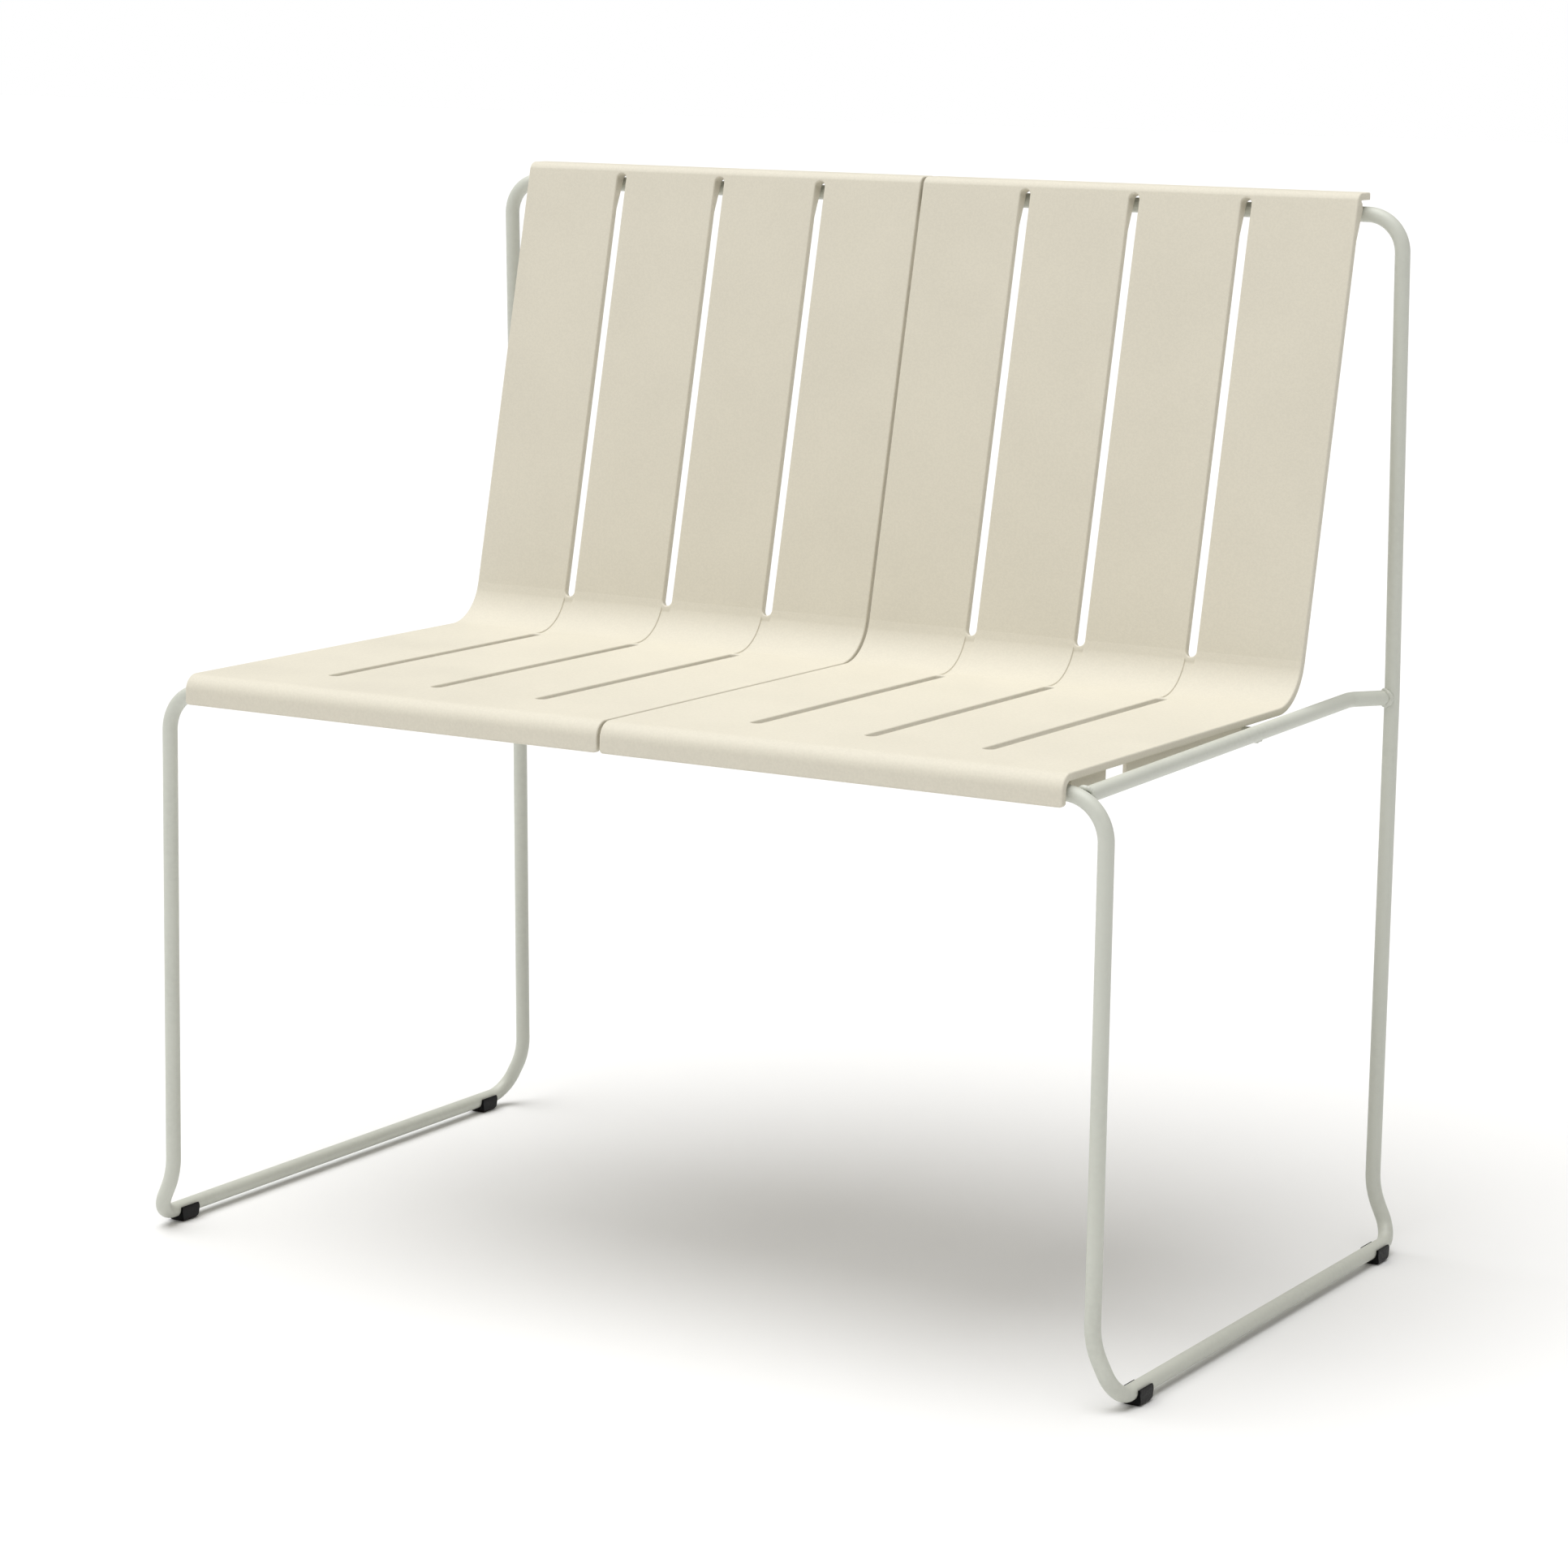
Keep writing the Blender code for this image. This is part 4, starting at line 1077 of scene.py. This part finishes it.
class BENCH_OT_glides(bpy.types.Operator):
    """Build the four clip-on glides under the runners"""
    bl_idname = "bench.glides"
    bl_label = "Glides"

    def execute(self, context):
        bench = context.scene.bench
        at = frame_places(bench.frame)
        coat = finishes()["Black glide plastic"]
        for end in ("front", "rear"):
            for _, word in SIDES:
                node = f"glide_{end}_{word}"
                low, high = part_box(node)
                glide = build_glide(f"bench_{node}", bench.glide, bench.frame.rod_radius,
                                    at["runner_z"], low, high)
                ease_edges(glide, bench.glide.ease)
                glide.data.materials.clear()
                glide.data.materials.append(coat)
                place_piece(glide, [node])
        return {"FINISHED"}


# --- clips and screws --------------------------------------------------------------------------

def clip_nodes():
    return [f"{row}_clip_{word}_{slat}" for row in ("front", "cross", "top")
            for _, word in SIDES for slat in CLIP_SLATS]


def screw_nodes():
    names = []
    for row, letters in (("front", "a"), ("cross", "ab"), ("top", "a")):
        for _, word in SIDES:
            names += [f"{row}_screw_{word}_{slat}{letter}" for slat in CLIP_SLATS for letter in letters]
    return names


class BENCH_OT_clips(bpy.types.Operator):
    """Build the saddle clips that hold the shells on the bars"""
    bl_idname = "bench.clips"
    bl_label = "Clips"

    def execute(self, context):
        look = context.scene.bench.fixing
        coat = finishes()["Cream clip plastic"]
        for node in clip_nodes():
            builder = bmesh.new()
            builder.from_mesh(frame["nodes"][node].data)
            bmesh.ops.remove_doubles(builder, verts=builder.verts, dist=JOIN)
            bmesh.ops.dissolve_limit(builder, angle_limit=math.radians(2), verts=builder.verts,
                                     edges=builder.edges)
            bmesh.ops.recalc_face_normals(builder, faces=builder.faces)
            clip = link_object(f"bench_{node}", mesh_from(f"bench_{node}", builder))
            ease_edges(clip, look.clip_ease)
            clip.data.materials.clear()
            clip.data.materials.append(coat)
            place_piece(clip, [node])
        return {"FINISHED"}


def screw_mesh(look):
    """A pan-head screw with a six-sided socket: head below, shank up +Z."""
    head, height = look.head_radius, look.head_height
    turned = [math.radians(angle) for angle in DOME_ANGLES]
    dome = [(head * math.cos(a), -HEAD_RIM * height - (1 - HEAD_RIM) * height * math.sin(a)) for a in turned]
    thread = []
    threaded = look.shank_length - THREAD_START - THREAD_END
    for turn in range(THREAD_TURNS):
        z = THREAD_START + threaded * turn / THREAD_TURNS
        thread += [(look.shank_radius * CORE, z), (look.shank_radius, z + THREAD_RISE)]
    tip = [(TIP * look.shank_radius, look.shank_length - TIP_LENGTH), (0.0, look.shank_length)]
    outer = [(head, 0.0), (look.shank_radius * CORE, 0.0)] + thread + tip
    builder = bmesh.new()
    rings = []
    for radius, z in reversed(dome):
        rings.append(ring_of(builder, radius, z))
    for radius, z in outer[:-1]:
        rings.append(ring_of(builder, radius, z))
    for first, second in zip(rings, rings[1:]):
        join_rings(builder, first, second)
    point = builder.verts.new((0.0, 0.0, outer[-1][1]))
    for index in range(SCREW_SIDES):
        builder.faces.new((rings[-1][index], rings[-1][(index + 1) % SCREW_SIDES], point))
    rim_z = dome[-1][1]
    socket = [hexagon_of(builder, look.socket_radius, z) for z in (rim_z, rim_z + look.socket_depth)]
    join_rings(builder, rings[0], socket[0])
    join_rings(builder, socket[0], socket[1])
    builder.faces.new(socket[1])
    bmesh.ops.recalc_face_normals(builder, faces=builder.faces)
    mesh = mesh_from("screw_shape", builder)
    mesh.shade_smooth()
    mesh.set_sharp_from_angle(angle=SHARP_ANGLE)
    return mesh


def ring_of(builder, radius, z):
    angles = [2 * math.pi * index / SCREW_SIDES for index in range(SCREW_SIDES)]
    return [builder.verts.new((radius * math.cos(a), radius * math.sin(a), z)) for a in angles]


def hexagon_of(builder, radius, z):
    """A six-sided ring with as many points as the round rings."""
    ring = []
    for index in range(SCREW_SIDES):
        a = 2 * math.pi * index / SCREW_SIDES
        within = (a % (math.pi / 3)) - math.pi / 6
        reach = radius * math.cos(math.pi / 6) / math.cos(within)
        ring.append(builder.verts.new((reach * math.cos(a), reach * math.sin(a), z)))
    return ring


def join_rings(builder, first, second):
    count = len(first)
    for index in range(count):
        following = (index + 1) % count
        builder.faces.new((first[index], first[following], second[following], second[index]))


def screw_tree():
    """Puts a screw on each point, turned so that its shank follows the "into" direction."""
    tree, start, end = geometry_tree("Screws", (("Screw", "NodeSocketObject"),))
    shape = add_node(tree, "GeometryNodeObjectInfo", {"Object": start.outputs["Screw"], "As Instance": True})
    into = add_node(tree, "GeometryNodeInputNamedAttribute", {"Name": "into"}, data_type="FLOAT_VECTOR")
    turn = add_node(tree, "FunctionNodeAlignRotationToVector", {"Vector": into.outputs["Attribute"]},
                    axis="Z")
    points = add_node(tree, "GeometryNodeMeshToPoints", {"Mesh": start.outputs["Geometry"]})
    scatter = add_node(tree, "GeometryNodeInstanceOnPoints", {
        "Points": points.outputs["Points"], "Instance": shape.outputs["Geometry"],
        "Rotation": turn.outputs["Rotation"]})
    return close_tree(tree, scatter.outputs["Instances"], start, end, smooth=False)


def screw_places(look, lean):
    """Under-head point and shank direction of every screw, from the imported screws' boxes."""
    up = Vector((0, 0, 1))
    into_back = Vector((0, -math.cos(lean), math.sin(lean)))
    half_length = (look.head_height + look.shank_length) / 2
    places = []
    for node in screw_nodes():
        low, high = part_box(node)
        direction = into_back if node.startswith("top") else up
        under_head = (low + high) / 2 - direction * (half_length - look.head_height)
        places.append((under_head, direction))
    return places


class BENCH_OT_screws(bpy.types.Operator):
    """Put a screw through every clip tab"""
    bl_idname = "bench.screws"
    bl_label = "Screws"

    def execute(self, context):
        bench = context.scene.bench
        shape = link_object("screw_shape", screw_mesh(bench.fixing))
        builder = bmesh.new()
        into = builder.verts.layers.float_vector.new("into")
        for place, direction in screw_places(bench.fixing, bench.shell.lean):
            builder.verts.new(place)[into] = direction
        screws = link_object("bench_screws", mesh_from("bench_screws", builder))
        run_tree(screws, screw_tree(), {"Screw": shape, "Material": finishes()["Stainless screw steel"]})
        bpy.data.objects.remove(shape, do_unlink=True)
        place_piece(screws, screw_nodes())
        return {"FINISHED"}


# --- stage ------------------------------------------------------------------------------------

def add_sun(name, towards, power, softness):
    """A very soft even light from one side; softness is its width in degrees."""
    light = bpy.data.lights.new(name, "SUN")
    light.energy = power
    light.angle = math.radians(softness)
    item = link_object(name, light)
    item.location = towards
    item.rotation_euler = Vector(towards).to_track_quat("Z", "Y").to_euler()


def add_camera(look):
    """A long-lens camera to the bench's right, a little above it."""
    a, e, r = look.azimuth, look.elevation, look.roll
    forward = Vector((-math.sin(a) * math.cos(e), math.cos(a) * math.cos(e), -math.sin(e)))
    right = Vector((math.cos(a), math.sin(a), 0.0))
    up = right.cross(forward)
    right_rolled = right * math.cos(r) + up * math.sin(r)
    up_rolled = up * math.cos(r) - right * math.sin(r)
    data = bpy.data.cameras.new("camera")
    data.lens = look.focal
    data.sensor_width = 36.0
    data.shift_x, data.shift_y = look.shift
    camera = link_object("camera", data)
    turn = Matrix((right_rolled, up_rolled, -forward)).transposed().to_4x4()
    camera.matrix_world = Matrix.Translation(look.position) @ turn
    bpy.context.scene.camera = camera


def studio_world():
    """Dim warm light all round, with a white backdrop that only the camera sees."""
    world = bpy.data.worlds.new("studio")
    world.use_nodes = True
    tree = world.node_tree
    light = tree.nodes["Background"]
    light.inputs["Color"].default_value = (1.0, 0.98, 0.94, 1.0)
    light.inputs["Strength"].default_value = 0.40
    seen = add_node(tree, "ShaderNodeLightPath").outputs["Is Camera Ray"]
    backdrop = add_node(tree, "ShaderNodeBackground", {"Color": (1.0, 1.0, 1.0, 1.0), "Strength": 1.0})
    choose = add_node(tree, "ShaderNodeMixShader", {
        0: seen, 1: light.outputs["Background"], 2: backdrop.outputs["Background"]})
    tree.links.new(choose.outputs["Shader"], tree.nodes["World Output"].inputs["Surface"])
    return world


class BENCH_OT_stage(bpy.types.Operator):
    """Set up the floor, the light and the camera"""
    bl_idname = "bench.stage"
    bl_label = "Stage"

    def execute(self, context):
        look = context.scene.bench.stage
        add_camera(look)
        builder = bmesh.new()
        bmesh.ops.create_grid(builder, x_segments=1, y_segments=1, size=look.floor_size / 2)
        floor = link_object("floor", mesh_from("floor", builder))
        floor.data.materials.append(finishes()["Studio floor"])
        add_sun("key", towards=(-0.40, -0.44, 2.2), power=3.02, softness=62.0)
        context.scene.world = studio_world()
        context.scene.view_settings.view_transform = "Standard"
        return {"FINISHED"}


# --- add-on -----------------------------------------------------------------------------------

class BENCH_PT_panel(bpy.types.Panel):
    """Sizes, colours and the steps that build the bench"""
    bl_idname = "BENCH_PT_panel"
    bl_label = "Garden bench"
    bl_space_type = "VIEW_3D"
    bl_region_type = "UI"
    bl_category = "Bench"

    def draw(self, context):
        bench = context.scene.bench
        for operator, label in STEPS:
            self.layout.operator(f"bench.{operator}")
            box = self.layout.box()
            group = getattr(bench, label)
            for prop in group.bl_rna.properties:
                if prop.identifier not in ("rna_type", "name"):
                    box.prop(group, prop.identifier)


STEPS = (("stage", "stage"), ("shells", "shell"), ("rods", "frame"), ("welds", "frame"),
         ("glides", "glide"), ("clips", "fixing"), ("screws", "fixing"))
CLASSES = (BenchShellSettings, BenchFrameSettings, BenchGlideSettings, BenchFixingSettings,
           BenchStageSettings, BenchSettings, BENCH_OT_shells, BENCH_OT_rods, BENCH_OT_welds,
           BENCH_OT_glides, BENCH_OT_clips, BENCH_OT_screws, BENCH_OT_stage, BENCH_PT_panel)


def register():
    for item in CLASSES:
        bpy.utils.register_class(item)
    bpy.types.Scene.bench = PointerProperty(type=BenchSettings)


def unregister():
    del bpy.types.Scene.bench
    for item in reversed(CLASSES):
        bpy.utils.unregister_class(item)


def main():
    register()
    for operator, _ in STEPS:
        getattr(bpy.ops.bench, operator)()


if __name__ == "__main__":
    main()
